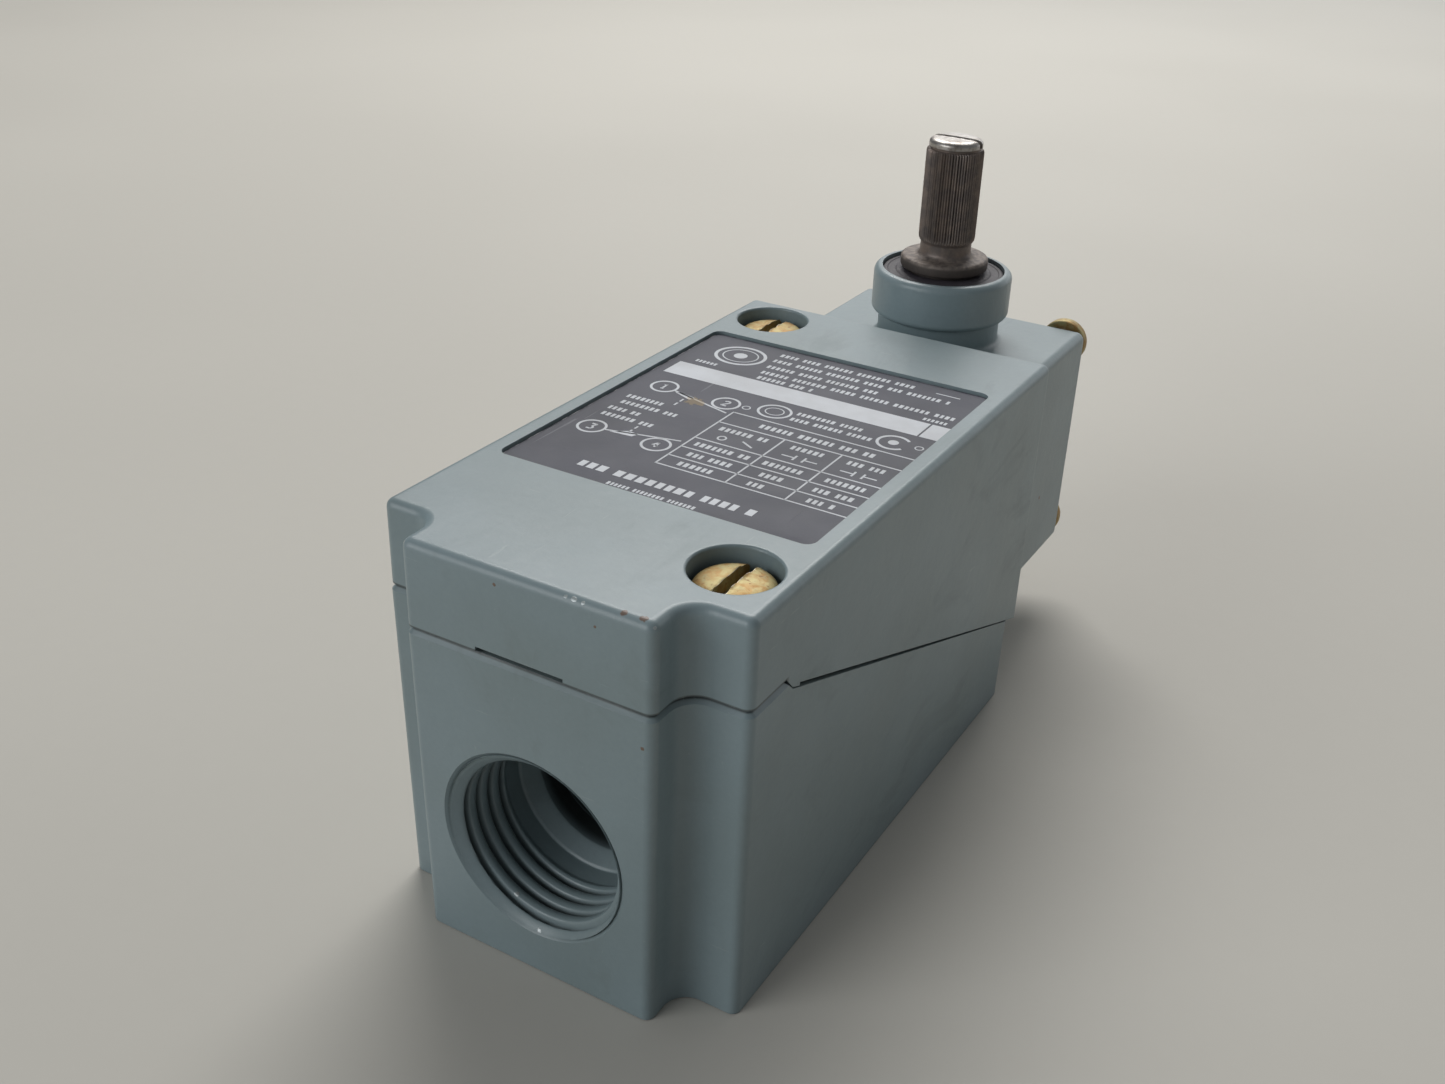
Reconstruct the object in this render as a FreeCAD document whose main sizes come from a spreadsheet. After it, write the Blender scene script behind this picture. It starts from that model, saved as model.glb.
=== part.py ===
import FreeCAD, Part
import Sketcher
import math
import os
from FreeCAD import Vector, Rotation, Placement

# Plug-in, oil-tight, lever-type limit switch with a bare rotary operating shaft.
# Frame: origin on the rear mounting face at the centre of the screw pattern,
# +Z out of the front (nameplate) face, +Y towards the operating head, millimetres.
# "Near" is the conduit end (-Y) and "far" is the head end (+Y).
# "nc" and "no" stand for the normally closed and normally open contacts.

doc = FreeCAD.newDocument("limit_switch")

# ---------------------------------------------------------------- driving dimensions
SIZES = [
    # base casting
    ("base_half_width", 21.0, "base half width at the parting"),
    ("block_half_width", 14.2, "half width of the conduit end block"),
    ("block_face_y", -42.3, "conduit end face"),
    ("shoulder_y", -37.0, "shoulders beside the conduit block"),
    ("base_end_y", 34.4, "far end of the base"),
    ("parting_z", 36.4, "flat parting level at the conduit end"),
    ("flat_end_y", -30.6, "end of the flat parting"),
    ("slant_start_y", -29.2, "start of the slanted parting"),
    ("slant_start_z", 35.0, "height of the base where the slant starts"),
    ("slant_slope", 0.3858, "fall of the parting per unit length"),
    ("wall", 3.0, "casting wall"),
    ("base_floor", 4.0, "thickness of the base floor"),
    ("cavity_front_y", -22.5, "near wall of the wiring space"),
    ("cavity_back_y", 23.5, "far wall of the wiring space"),
    ("cavity_nose_y", 29.5, "end of the narrow part of the space"),
    ("cavity_nose_half", 8.4, "half width of the narrow part"),
    ("draft_deg", 0.55, "casting draft"),
    ("edge_round", 1.0, "outer vertical corner radius"),
    ("notch_round", 2.6, "inner notch radius"),
    ("end_round", 2.5, "corner radius at the far end of the base"),
    ("parting_chamfer", 0.55, "chamfer on the flat parting edges"),
    ("space_round", 1.2, "corner radius of the inside spaces"),
    # conduit entry, 1/2-14 NPT
    ("conduit_z", 15.6, "height of the conduit axis"),
    ("conduit_radius", 10.4, "conduit thread, full depth radius"),
    ("conduit_depth", 15.0, "threaded depth"),
    ("conduit_chamfer", 0.45, "mouth chamfer"),
    ("throat_radius", 8.0, "wire passage behind the thread"),
    # screw pattern 29.4 x 59.5
    ("pattern_half_x", 14.7, "half of 29.4"),
    ("pattern_half_y", 29.75, "half of 59.5"),
    ("mount_hole_radius", 2.6, "clearance for a number 10 screw"),
    ("mount_head_radius", 4.0, "counterbore for the mounting screw head"),
    ("mount_near_seat", 29.0, "seat level of the near mounting screw"),
    ("mount_far_seat", 6.0, "seat level of the far mounting screw"),
    ("thread_hole_radius", 2.1, "number 8 tapped hole, cosmetic thread"),
    ("ring_bore_radius", 3.75, "counterbore for the retaining ring"),
    ("near_thread_top", 30.4, "top of the near captive thread"),
    ("far_thread_top", 6.4, "top of the far captive thread"),
    ("thread_length", 4.9, "captive thread engagement space"),
    # switch body
    ("body_half_width", 20.9, "switch body half width"),
    ("body_inset", 0.05, "inset of the body outline from the base at the conduit end"),
    ("body_end_y", 35.8, "far end of the switch body"),
    ("front_z", 46.0, "front face"),
    ("parting_gap_near", 0.48, "parting gap, conduit end"),
    ("parting_gap_far", 0.24, "parting gap, head end"),
    ("ceiling_z", 42.0, "inside ceiling"),
    ("end_wall_y", 31.5, "inner face of the head end wall"),
    ("plate_half_x", 18.45, "nameplate recess half width"),
    ("plate_half_y", 22.2, "nameplate recess half length"),
    ("plate_recess", 0.85, "nameplate recess depth"),
    ("plate_thick", 0.45, "nameplate thickness"),
    ("plate_corner", 1.2, "nameplate corner radius"),
    ("plate_gap", 0.12, "gap round the nameplate"),
    ("recess_radius", 4.5, "captive screw recess"),
    ("screw_seat_z", 42.2, "seat of the captive screw head"),
    ("captive_hole_radius", 2.25, "clearance hole of the captive screw"),
    ("front_round", 1.0, "round on the front edge"),
    # captive screws
    ("captive_head_radius", 4.0, "captive screw head radius"),
    ("captive_head_high", 3.0, "captive screw head height"),
    ("captive_shank_radius", 2.05, "captive screw shank radius"),
    ("captive_neck_radius", 1.6, "ring groove radius"),
    ("slot_width", 1.3, "screw slot width"),
    ("slot_depth", 1.5, "screw slot depth"),
    ("ring_outer", 3.5, "retaining ring radius"),
    ("ring_thick", 0.7, "retaining ring thickness"),
    ("near_ring_z", 30.6, "near ring level"),
    ("far_ring_z", 6.6, "far ring level"),
    ("near_tip_z", 25.7, "near screw tip"),
    ("far_tip_z", 1.7, "far screw tip"),
    # gasket
    ("gasket_inner", 0.4, "gasket offset from the space"),
    ("gasket_width", 1.4, "gasket width"),
    ("gasket_thick", 1.3, "gasket thickness"),
    # operating head
    ("head_half_width", 16.8, "head half width"),
    ("head_start_y", 36.3, "near face of the head"),
    ("head_end_y", 62.9, "far face of the head"),
    ("head_low_z", 9.5, "underside of the head"),
    ("head_high_z", 41.1, "front face of the head"),
    ("head_round", 1.2, "head edge radius"),
    ("head_space_half", 9.6, "half width of the space in the head"),
    ("head_space_low", 13.2, "floor of the space in the head"),
    ("head_space_high", 37.8, "ceiling of the space in the head"),
    ("head_space_end", 59.0, "end of the space in the head"),
    ("shaft_y", 49.75, "operating shaft axis"),
    ("plunger_z", 25.3, "plunger axis"),
    ("neck_radius", 8.1, "neck under the collar"),
    ("collar_radius", 9.15, "collar radius"),
    ("collar_low_z", 44.55, "underside of the collar"),
    ("collar_high_z", 50.6, "rim of the collar"),
    ("collar_bore", 8.1, "seal recess radius"),
    ("seal_low_z", 49.0, "seal recess floor"),
    ("bush_outer", 6.0, "shaft bushing outside radius"),
    ("bush_inner", 4.8, "shaft bushing bore radius"),
    ("lower_boss_radius", 6.2, "lower bearing boss radius"),
    ("lower_boss_high", 17.5, "top of the lower bearing boss"),
    ("lower_bush_outer", 4.6, "lower bushing outside radius"),
    ("head_screw_pitch", 13.5, "head screw half spacing"),
    ("head_screw_radius", 2.0, "head screw shank radius"),
    ("head_screw_hole", 2.1, "head screw hole radius"),
    ("head_screw_head", 3.15, "head screw head radius"),
    ("head_screw_high", 2.5, "head screw head height"),
    ("head_screw_tip_y", 33.45, "head screw tip"),
    ("gasket_sheet", 0.5, "head gasket thickness"),
    # operating shaft
    ("journal_radius", 4.75, "shaft journal radius"),
    ("cam_seat_radius", 4.0, "shaft radius in the cam"),
    ("tail_radius", 3.0, "lower journal radius"),
    ("shaft_radius", 3.7, "outer shaft radius"),
    ("shaft_neck_radius", 3.35, "relief radius over the flange"),
    ("flange_radius", 5.75, "flange radius"),
    ("shaft_low_z", 11.4, "lower end of the shaft"),
    ("clip_groove_radius", 2.6, "retaining ring groove radius"),
    ("clip_groove_low", 20.1, "underside of the retaining ring groove"),
    ("tail_top_z", 20.95, "top of the lower journal"),
    ("journal_low_z", 34.6, "bottom of the main journal"),
    ("flange_low_z", 50.75, "underside of the flange"),
    ("flange_high_z", 52.35, "top of the flange"),
    ("knurl_low_z", 54.6, "start of the knurl"),
    ("knurl_high_z", 66.3, "end of the knurl"),
    ("shaft_tip_z", 67.8, "tip of the shaft"),
    # cam and follower
    ("cam_base", 5.2, "cam support distance at rest"),
    ("cam_rise", 2.4, "cam rise over the working turn"),
    ("cam_turn", 80.0, "working turn, degrees"),
    ("cam_low_z", 21.0, "cam underside"),
    ("cam_high_z", 29.6, "top of the cam lobe"),
    ("hub_high_z", 34.4, "top of the cam hub"),
    ("hub_radius", 6.6, "cam hub radius"),
    ("cam_bore", 4.05, "cam bore radius"),
    ("pin_radius", 1.0, "drive pin radius"),
    ("pin_z", 32.4, "drive pin level"),
    ("follower_gap", 0.03, "clearance to the cam"),
    ("follower_disc", 4.2, "follower disc radius"),
    ("follower_disc_thick", 2.6, "follower disc thickness"),
    ("stem_radius", 2.5, "follower stem radius"),
    ("stem_tip_y", 31.0, "inner end of the follower"),
    ("guide_inner", 2.55, "plunger bushing bore"),
    ("guide_outer", 4.5, "plunger bushing outside"),
    ("guide_flange", 1.2, "plunger bushing flange thickness"),
    # contact block
    ("contact_half", 15.0, "contact block half width"),
    ("contact_front_y", -14.0, "contact block near face"),
    ("contact_back_y", 22.0, "contact block far face"),
    ("contact_low_z", 18.0, "contact block underside"),
    ("contact_split_z", 31.0, "joint of block and cover"),
    ("contact_high_z", 41.7, "contact block top"),
    ("contact_wall", 3.5, "contact block side wall"),
    ("contact_end", 2.5, "contact block end wall"),
    ("block_screw_x", 13.25, "contact block screw position across"),
    ("block_screw_y", 5.0, "contact block screw position along"),
    ("carrier_half", 3.0, "carrier half width"),
    ("carrier_low", 22.3, "carrier underside"),
    ("carrier_high", 28.3, "carrier top"),
    ("carrier_front_y", -5.8, "carrier near end"),
    ("carrier_back_y", 30.97, "carrier far end"),
    ("bridge_half", 9.0, "bridge half length"),
    ("nc_bridge_y", 12.0, "normally closed bridge"),
    ("no_bridge_y", 1.0, "normally open bridge"),
    ("bridge_thick", 0.8, "bridge thickness"),
    ("tip_radius", 1.5, "contact tip radius"),
    ("tip_thick", 0.6, "contact tip thickness"),
    ("tip_x", 7.2, "contact tip position"),
    ("strip_low_z", 20.6, "contact strip underside"),
    ("strip_high_z", 27.0, "contact strip top"),
    ("blade_inner_x", 8.0, "plug blade inner edge"),
    ("blade_outer_x", 11.4, "plug blade outer edge"),
    ("blade_thick", 1.0, "plug blade thickness"),
    ("blade_low_z", 9.0, "plug blade tip"),
    # terminal block
    ("terminal_half", 15.5, "terminal block half width"),
    ("terminal_front_y", -20.5, "terminal block near face"),
    ("terminal_step_y", -9.5, "terminal block step"),
    ("terminal_back_y", 19.0, "terminal block far face"),
    ("terminal_step_z", 12.4, "terminal step level"),
    ("terminal_high_z", 15.5, "terminal block top"),
    ("terminal_pitch", 7.5, "terminal pitch"),
    ("terminal_screw_y", -15.0, "terminal screw row"),
    ("base_screw_near_y", -6.5, "near terminal block screw"),
    ("base_screw_far_y", 15.8, "far terminal block screw"),
    ("ground_screw_y", 25.4, "ground screw"),
    # receptacle contacts
    ("foot_low_z", 6.0, "underside of the contact foot"),
    ("foot_high_z", 7.0, "top of the contact foot"),
    ("jaw_gap", 0.05, "gap from jaw to blade"),
    ("jaw_thick", 0.6, "jaw leaf thickness"),
    ("jaw_high_z", 14.6, "top of the jaw"),
    ("riser_half", 1.25, "riser half width"),
    ("riser_low_y", -12.6, "near face of the riser"),
    ("riser_high_y", -11.8, "far face of the riser"),
    ("tab_half", 2.7, "terminal tab half width"),
    ("tab_low_z", 12.5, "terminal tab underside"),
    ("tab_high_z", 13.3, "terminal tab top"),
]


class Dim:
    """A number together with the sheet expression that gives it."""

    def __init__(self, value, text):
        self.value = float(value)
        self.text = text

    @staticmethod
    def of(number):
        if isinstance(number, Dim):
            return number
        if number < 0:
            return Dim(number, "(0 - %r)" % (-float(number)))
        return Dim(number, "%r" % float(number))

    def __add__(self, other):
        other = Dim.of(other)
        return Dim(self.value + other.value, "(%s + %s)" % (self.text, other.text))

    def __sub__(self, other):
        other = Dim.of(other)
        return Dim(self.value - other.value, "(%s - %s)" % (self.text, other.text))

    def __mul__(self, other):
        other = Dim.of(other)
        return Dim(self.value * other.value, "(%s * %s)" % (self.text, other.text))

    def __rmul__(self, other):
        return Dim.of(other) * self

    def __neg__(self):
        return Dim(-self.value, "(0 - %s)" % self.text)


class Dims:
    """Holds one Dim for each alias of the sheet."""


dims = Dims()
sheet = doc.addObject("Spreadsheet::Sheet", "dims")
sheet.set("A1", "dimension")
sheet.set("B1", "mm")
for row, (alias, value, note) in enumerate(SIZES, start=2):
    sheet.set("A%d" % row, alias)
    sheet.set("B%d" % row, repr(value))
    sheet.set("C%d" % row, note)
    sheet.setAlias("B%d" % row, alias)
    setattr(dims, alias, Dim(value, "dims." + alias))
doc.recompute()


# ---------------------------------------------------------------- sketch helpers
def sketch(body, role, offset=None):
    sk = body.newObject("Sketcher::SketchObject", "Sketch")
    plane = [f for f in body.Origin.OriginFeatures if f.Role == role][0]
    sk.AttachmentSupport = [(plane, "")]
    sk.MapMode = "FlatFace"
    if offset is not None:
        offset = Dim.of(offset)
        sk.AttachmentOffset = Placement(Vector(0, 0, offset.value), Rotation())
        sk.setExpression("AttachmentOffset.Base.z", offset.text)
    return sk


def locate(sk, geo, pos, distance, kind):
    """Tie one coordinate of a sketch point to the origin; kind is DistanceX or DistanceY."""
    distance = Dim.of(distance)
    if abs(distance.value) < 1e-9:
        axis = -2 if kind == "DistanceX" else -1
        sk.addConstraint(Sketcher.Constraint("PointOnObject", geo, pos, axis))
        return
    if distance.value > 0:
        ends = (-1, 1, geo, pos)
    else:
        distance = -distance
        ends = (geo, pos, -1, 1)
    k = sk.addConstraint(Sketcher.Constraint(kind, *ends, distance.value))
    sk.setExpression("Constraints[%d]" % k, distance.text)


def polygon(sk, points):
    points = [(Dim.of(x), Dim.of(y)) for x, y in points]
    corners = [Vector(x.value, y.value, 0) for x, y in points]
    count = len(points)
    first = sk.GeometryCount
    for i in range(count):
        sk.addGeometry(Part.LineSegment(corners[i], corners[(i + 1) % count]), False)
    for i in range(count):
        following = first + (i + 1) % count
        sk.addConstraint(Sketcher.Constraint("Coincident", first + i, 2, following, 1))
    for i, (x, y) in enumerate(points):
        locate(sk, first + i, 1, x, "DistanceX")
        locate(sk, first + i, 1, y, "DistanceY")


def circle(sk, x, y, radius):
    x, y, radius = Dim.of(x), Dim.of(y), Dim.of(radius)
    centre = Vector(x.value, y.value, 0)
    geo = sk.addGeometry(Part.Circle(centre, Vector(0, 0, 1), radius.value), False)
    locate(sk, geo, 3, x, "DistanceX")
    locate(sk, geo, 3, y, "DistanceY")
    k = sk.addConstraint(Sketcher.Constraint("Radius", geo, radius.value))
    sk.setExpression("Constraints[%d]" % k, radius.text)


def rectangle(x, y):
    """Corners of a rectangle from two (low, high) pairs."""
    return [(x[0], y[0]), (x[1], y[0]), (x[1], y[1]), (x[0], y[1])]


def mirrored(side, low, high):
    """The pair (low, high) on the +X side, or its mirror image when side is -1."""
    return (low, high) if side == 1 else (-high, -low)


# ---------------------------------------------------------------- PartDesign helpers
def new_body(name):
    return doc.addObject("PartDesign::Body", name)


def pad(body, sk, length, reverse=False, taper=None):
    length = Dim.of(length)
    feature = body.newObject("PartDesign::Pad", "Pad")
    feature.Profile = (sk, [""])
    feature.Length = length.value
    feature.setExpression("Length", length.text)
    feature.Reversed = reverse
    if taper is not None:
        feature.TaperAngle = taper.value
        feature.setExpression("TaperAngle", taper.text)
    body.Tip = feature
    doc.recompute()


def pocket(body, sk, length, reverse=False, symmetric=False):
    before = body.Shape.Volume
    length = Dim.of(length)
    feature = body.newObject("PartDesign::Pocket", "Pocket")
    feature.Profile = (sk, [""])
    feature.Length = length.value
    feature.setExpression("Length", length.text)
    feature.Reversed = reverse
    if symmetric:
        feature.SideType = "Symmetric"
    body.Tip = feature
    doc.recompute()
    if not body.Shape.Volume < before - 1e-3:
        raise RuntimeError("pocket cut nothing in " + body.Label)


def pad_outline(body, role, offset, points, length, reverse=False, taper=None):
    sk = sketch(body, role, offset)
    polygon(sk, points)
    pad(body, sk, length, reverse, taper)


def pad_disc(body, level, x, y, radius, length):
    sk = sketch(body, "XY_Plane", level)
    circle(sk, x, y, radius)
    pad(body, sk, length)


def cut_outline(body, role, offset, points, length, symmetric=False, reverse=False):
    sk = sketch(body, role, offset)
    polygon(sk, points)
    pocket(body, sk, length, reverse, symmetric)


def cut_holes(body, role, offset, centres, radius, length, reverse=False):
    """Round pockets; they run down from XY and towards +Y from XZ unless reversed."""
    sk = sketch(body, role, offset)
    for x, y in centres:
        circle(sk, x, y, radius)
    pocket(body, sk, length, reverse)


def revolve(body, points):
    """Turn an outline of (radius, level) points about Z."""
    sk = sketch(body, "XZ_Plane")
    polygon(sk, points)
    feature = body.newObject("PartDesign::Revolution", "Revolution")
    feature.Profile = (sk, [""])
    feature.ReferenceAxis = (sk, ["V_Axis"])
    feature.Angle = 360
    body.Tip = feature
    doc.recompute()


def place_body(body, x, y):
    x, y = Dim.of(x), Dim.of(y)
    body.Placement = Placement(Vector(x.value, y.value, 0), Rotation())
    body.setExpression("Placement.Base.x", x.text)
    body.setExpression("Placement.Base.y", y.text)


def dress(body, kind, prop, test, size):
    names = ["Edge%d" % i for i, edge in enumerate(body.Shape.Edges, start=1) if test(edge)]
    if not names:
        raise RuntimeError("no edges for " + kind + " in " + body.Label)
    size = Dim.of(size)
    tip = body.Tip
    feature = body.newObject("PartDesign::" + kind, kind)
    feature.Base = (tip, names)
    setattr(feature, prop, size.value)
    feature.setExpression(prop, size.text)
    body.Tip = feature
    doc.recompute()
    failed = "Invalid" in feature.State or "Error" in feature.State
    if failed or body.Shape.isNull() or not body.Shape.isValid():
        raise RuntimeError("%s failed in %s" % (kind, body.Label))


def fillet(body, test, size):
    dress(body, "Fillet", "Radius", test, size)


def chamfer(body, test, size):
    dress(body, "Chamfer", "Size", test, size)


# ---------------------------------------------------------------- edge tests
def close(a, b):
    return abs(a - b) < 0.01


def radius_of(edge):
    # guards edges with no curve and curves with no radius
    try:
        return edge.Curve.Radius
    except (TypeError, AttributeError):
        return -1.0


def is_circle(edge):
    return len(edge.Vertexes) == 1 and radius_of(edge) > 0


def flat_at(edge, z):
    return close(edge.BoundBox.ZMin, z.value) and close(edge.BoundBox.ZMax, z.value)


def vertical(edge):
    """True for an upright edge, with room for the casting draft."""
    if len(edge.Vertexes) < 2:
        return False
    a, b = edge.Vertexes[0].Point, edge.Vertexes[1].Point
    return abs(b.z - a.z) > 1.0 and abs(b.x - a.x) < 0.6 and abs(b.y - a.y) < 0.6


def upright_at(*places):
    """Test for the upright edges near (x, y) and (-x, y) of each place."""
    def test(edge):
        if not vertical(edge):
            return False
        centre = edge.CenterOfMass
        return any(abs(abs(centre.x) - x.value) < 0.6 and abs(centre.y - y.value) < 0.6
                   for x, y in places)
    return test


def rim_at(radius, z):
    """Test for a full circle of the given radius and level."""
    return lambda edge: (is_circle(edge) and close(radius_of(edge), radius.value)
                         and close(edge.CenterOfMass.z, z.value))


# ---------------------------------------------------------------- Part helpers
def bind(obj, **values):
    for prop, quantity in values.items():
        obj.setExpression(prop, quantity.text)
        setattr(obj, prop, quantity.value)


def move(obj, places, rotation=Rotation()):
    places = [Dim.of(q) for q in places]
    obj.Placement = Placement(Vector(*[q.value for q in places]), rotation)
    for coordinate, q in zip("xyz", places):
        obj.setExpression("Placement.Base." + coordinate, q.text)


def box(x, y, z):
    """Box from three (low, high) pairs."""
    (x_low, x_high), (y_low, y_high), (z_low, z_high) = [
        (Dim.of(low), Dim.of(high)) for low, high in (x, y, z)]
    obj = doc.addObject("Part::Box", "Box")
    move(obj, (x_low, y_low, z_low))
    bind(obj, Length=x_high - x_low, Width=y_high - y_low, Height=z_high - z_low)
    return obj


# rotations that turn Z onto each axis
TURN = {
    "z": Rotation(),
    "y": Rotation(Vector(1, 0, 0), -90),
}
TURN["x"] = Rotation(Vector(0, 1, 0), 90)


def position(axis, along, a, b):
    """Coordinates from the one along the axis and the other two in X, Y, Z order."""
    return {"z": (a, b, along), "y": (a, along, b), "x": (along, a, b)}[axis]


def cylinder(radius, axis, low, high, a, b):
    """Cylinder along axis from low to high; a and b are as in position()."""
    obj = doc.addObject("Part::Cylinder", "Cylinder")
    move(obj, position(axis, low, a, b), TURN[axis])
    bind(obj, Radius=Dim.of(radius), Height=Dim.of(high) - low)
    return obj


def fuse(*objs):
    if len(objs) == 1:
        return objs[0]
    obj = doc.addObject("Part::MultiFuse", "Fuse")
    obj.Shapes = list(objs)
    obj.Refine = True
    return obj


def cut(base, *tools):
    obj = doc.addObject("Part::Cut", "Cut")
    obj.Base = base
    obj.Tool = fuse(*tools)
    return obj


def group(*objs):
    obj = doc.addObject("Part::Compound", "Group")
    obj.Links = list(objs)
    return obj


def shape_object(name, shape):
    obj = doc.addObject("Part::Feature", name)
    obj.Shape = shape
    return obj


def tube(outer, inner, axis, low, high, a, b):
    low, high = Dim.of(low), Dim.of(high)
    return cut(cylinder(outer, axis, low, high, a, b),
               cylinder(inner, axis, low - 1, high + 1, a, b))


def round_rims(obj, radius, test):
    doc.recompute()
    ids = [i for i, edge in enumerate(obj.Shape.Edges, start=1) if test(edge)]
    if not ids:
        raise RuntimeError("no rim to round")
    rounded = doc.addObject("Part::Fillet", "Fillet")
    rounded.Base = obj
    rounded.Edges = [(i, radius, radius) for i in ids]
    doc.recompute()
    return rounded


def slotted_screw(axis, a, b, head_radius, seat, crown, rim_round,
                  shank_radius, tip, slot_half, slot_depth):
    """Screw whose head runs from seat to crown and whose shank runs from the head to tip."""
    seat, crown, tip, b = Dim.of(seat), Dim.of(crown), Dim.of(tip), Dim.of(b)
    a = Dim.of(a)
    outward = 1 if crown.value > seat.value else -1

    def ordered(first, second):
        return (first, second) if outward == 1 else (second, first)

    head = cylinder(head_radius, axis, *ordered(seat, crown), a, b)
    head = round_rims(head, rim_round, lambda edge: is_circle(edge) and close(
        getattr(edge.CenterOfMass, axis), crown.value))
    shank = cylinder(shank_radius, axis, *ordered(tip, seat + outward * 0.5), a, b)
    reach = Dim.of(head_radius) + 1
    slot = box(*position(axis, ordered(crown - outward * slot_depth, crown + outward),
                         (a - reach, a + reach), (b - slot_half, b + slot_half)))
    return cut(fuse(head, shank), slot)


def coil(name, radius, wire, turns, axis, low, length, a, b):
    """Helical spring of round wire along axis from low, open ends."""
    low, length = Dim.of(low), Dim.of(length).value
    pitch = (length - 2 * wire) / turns
    helix = Part.makeHelix(pitch, length - 2 * wire, radius)
    tangent = Vector(0, 2 * math.pi * radius, pitch)
    section = Part.Wire([Part.makeCircle(wire, Vector(radius, 0, 0), tangent)])
    sweep = Part.Wire(helix.Edges).makePipeShell([section], True, True)
    spring = shape_object(name, sweep if sweep.ShapeType == "Solid" else Part.Solid(sweep))
    start = [Dim.of(q).value for q in position(axis, low + wire, a, b)]
    spring.Placement = Placement(Vector(*start), TURN[axis])
    return spring


# ---------------------------------------------------------------- shared profiles and places
SIDES = (1, -1)
THROUGH_WIDTH = 60      # symmetric cut right across the switch


def slant(y, lift=0.0):
    """Height at y of the slanted base parting surface, raised by lift."""
    return dims.slant_start_z + lift - (Dim.of(y) - dims.slant_start_y) * dims.slant_slope


def plan(half, block_half, face, shoulder, end):
    """Outline of a casting with the narrower conduit block at its near end."""
    return [(-block_half, face), (block_half, face), (block_half, shoulder), (half, shoulder),
            (half, end), (-half, end), (-half, shoulder), (-block_half, shoulder)]


def space_outline(grow=0.0, nose=dims.cavity_nose_y):
    """Outline of the inside space, with its narrow part at the far end."""
    half = dims.base_half_width - dims.wall - 0.1 + grow
    nose_half = dims.cavity_nose_half + grow
    front, back = dims.cavity_front_y - grow, dims.cavity_back_y + grow
    end = nose + grow
    return [(-half, front), (half, front), (half, back), (nose_half, back),
            (nose_half, end), (-nose_half, end), (-nose_half, back), (-half, back)]


def round_space(body, end_y):
    """Round the upright corners of the inside space."""
    side_limit = 18.2   # between the space and the outer walls
    y_low, y_high = dims.cavity_front_y.value - 0.1, end_y.value + 0.1
    fillet(body, lambda edge: vertical(edge) and abs(edge.CenterOfMass.x) < side_limit
           and y_low < edge.CenterOfMass.y < y_high, dims.space_round)


# captive screws on one diagonal of the pattern, mounting screws on the other
near_captive = (dims.pattern_half_x, -dims.pattern_half_y)
far_captive = (-dims.pattern_half_x, dims.pattern_half_y)
near_mount = (-dims.pattern_half_x, -dims.pattern_half_y)
far_mount = (dims.pattern_half_x, dims.pattern_half_y)

# (x, z) of the four head screws
head_screw_places = [(x, z) for x in (dims.head_screw_pitch, -dims.head_screw_pitch)
                     for z in (dims.plunger_z + dims.head_screw_pitch,
                               dims.plunger_z - dims.head_screw_pitch)]
base_screw_places = [(0, dims.base_screw_near_y), (0, dims.base_screw_far_y)]
block_screw_places = [(side * dims.block_screw_x, dims.block_screw_y) for side in SIDES]
lower_bush_low = dims.shaft_low_z - 0.4


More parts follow.
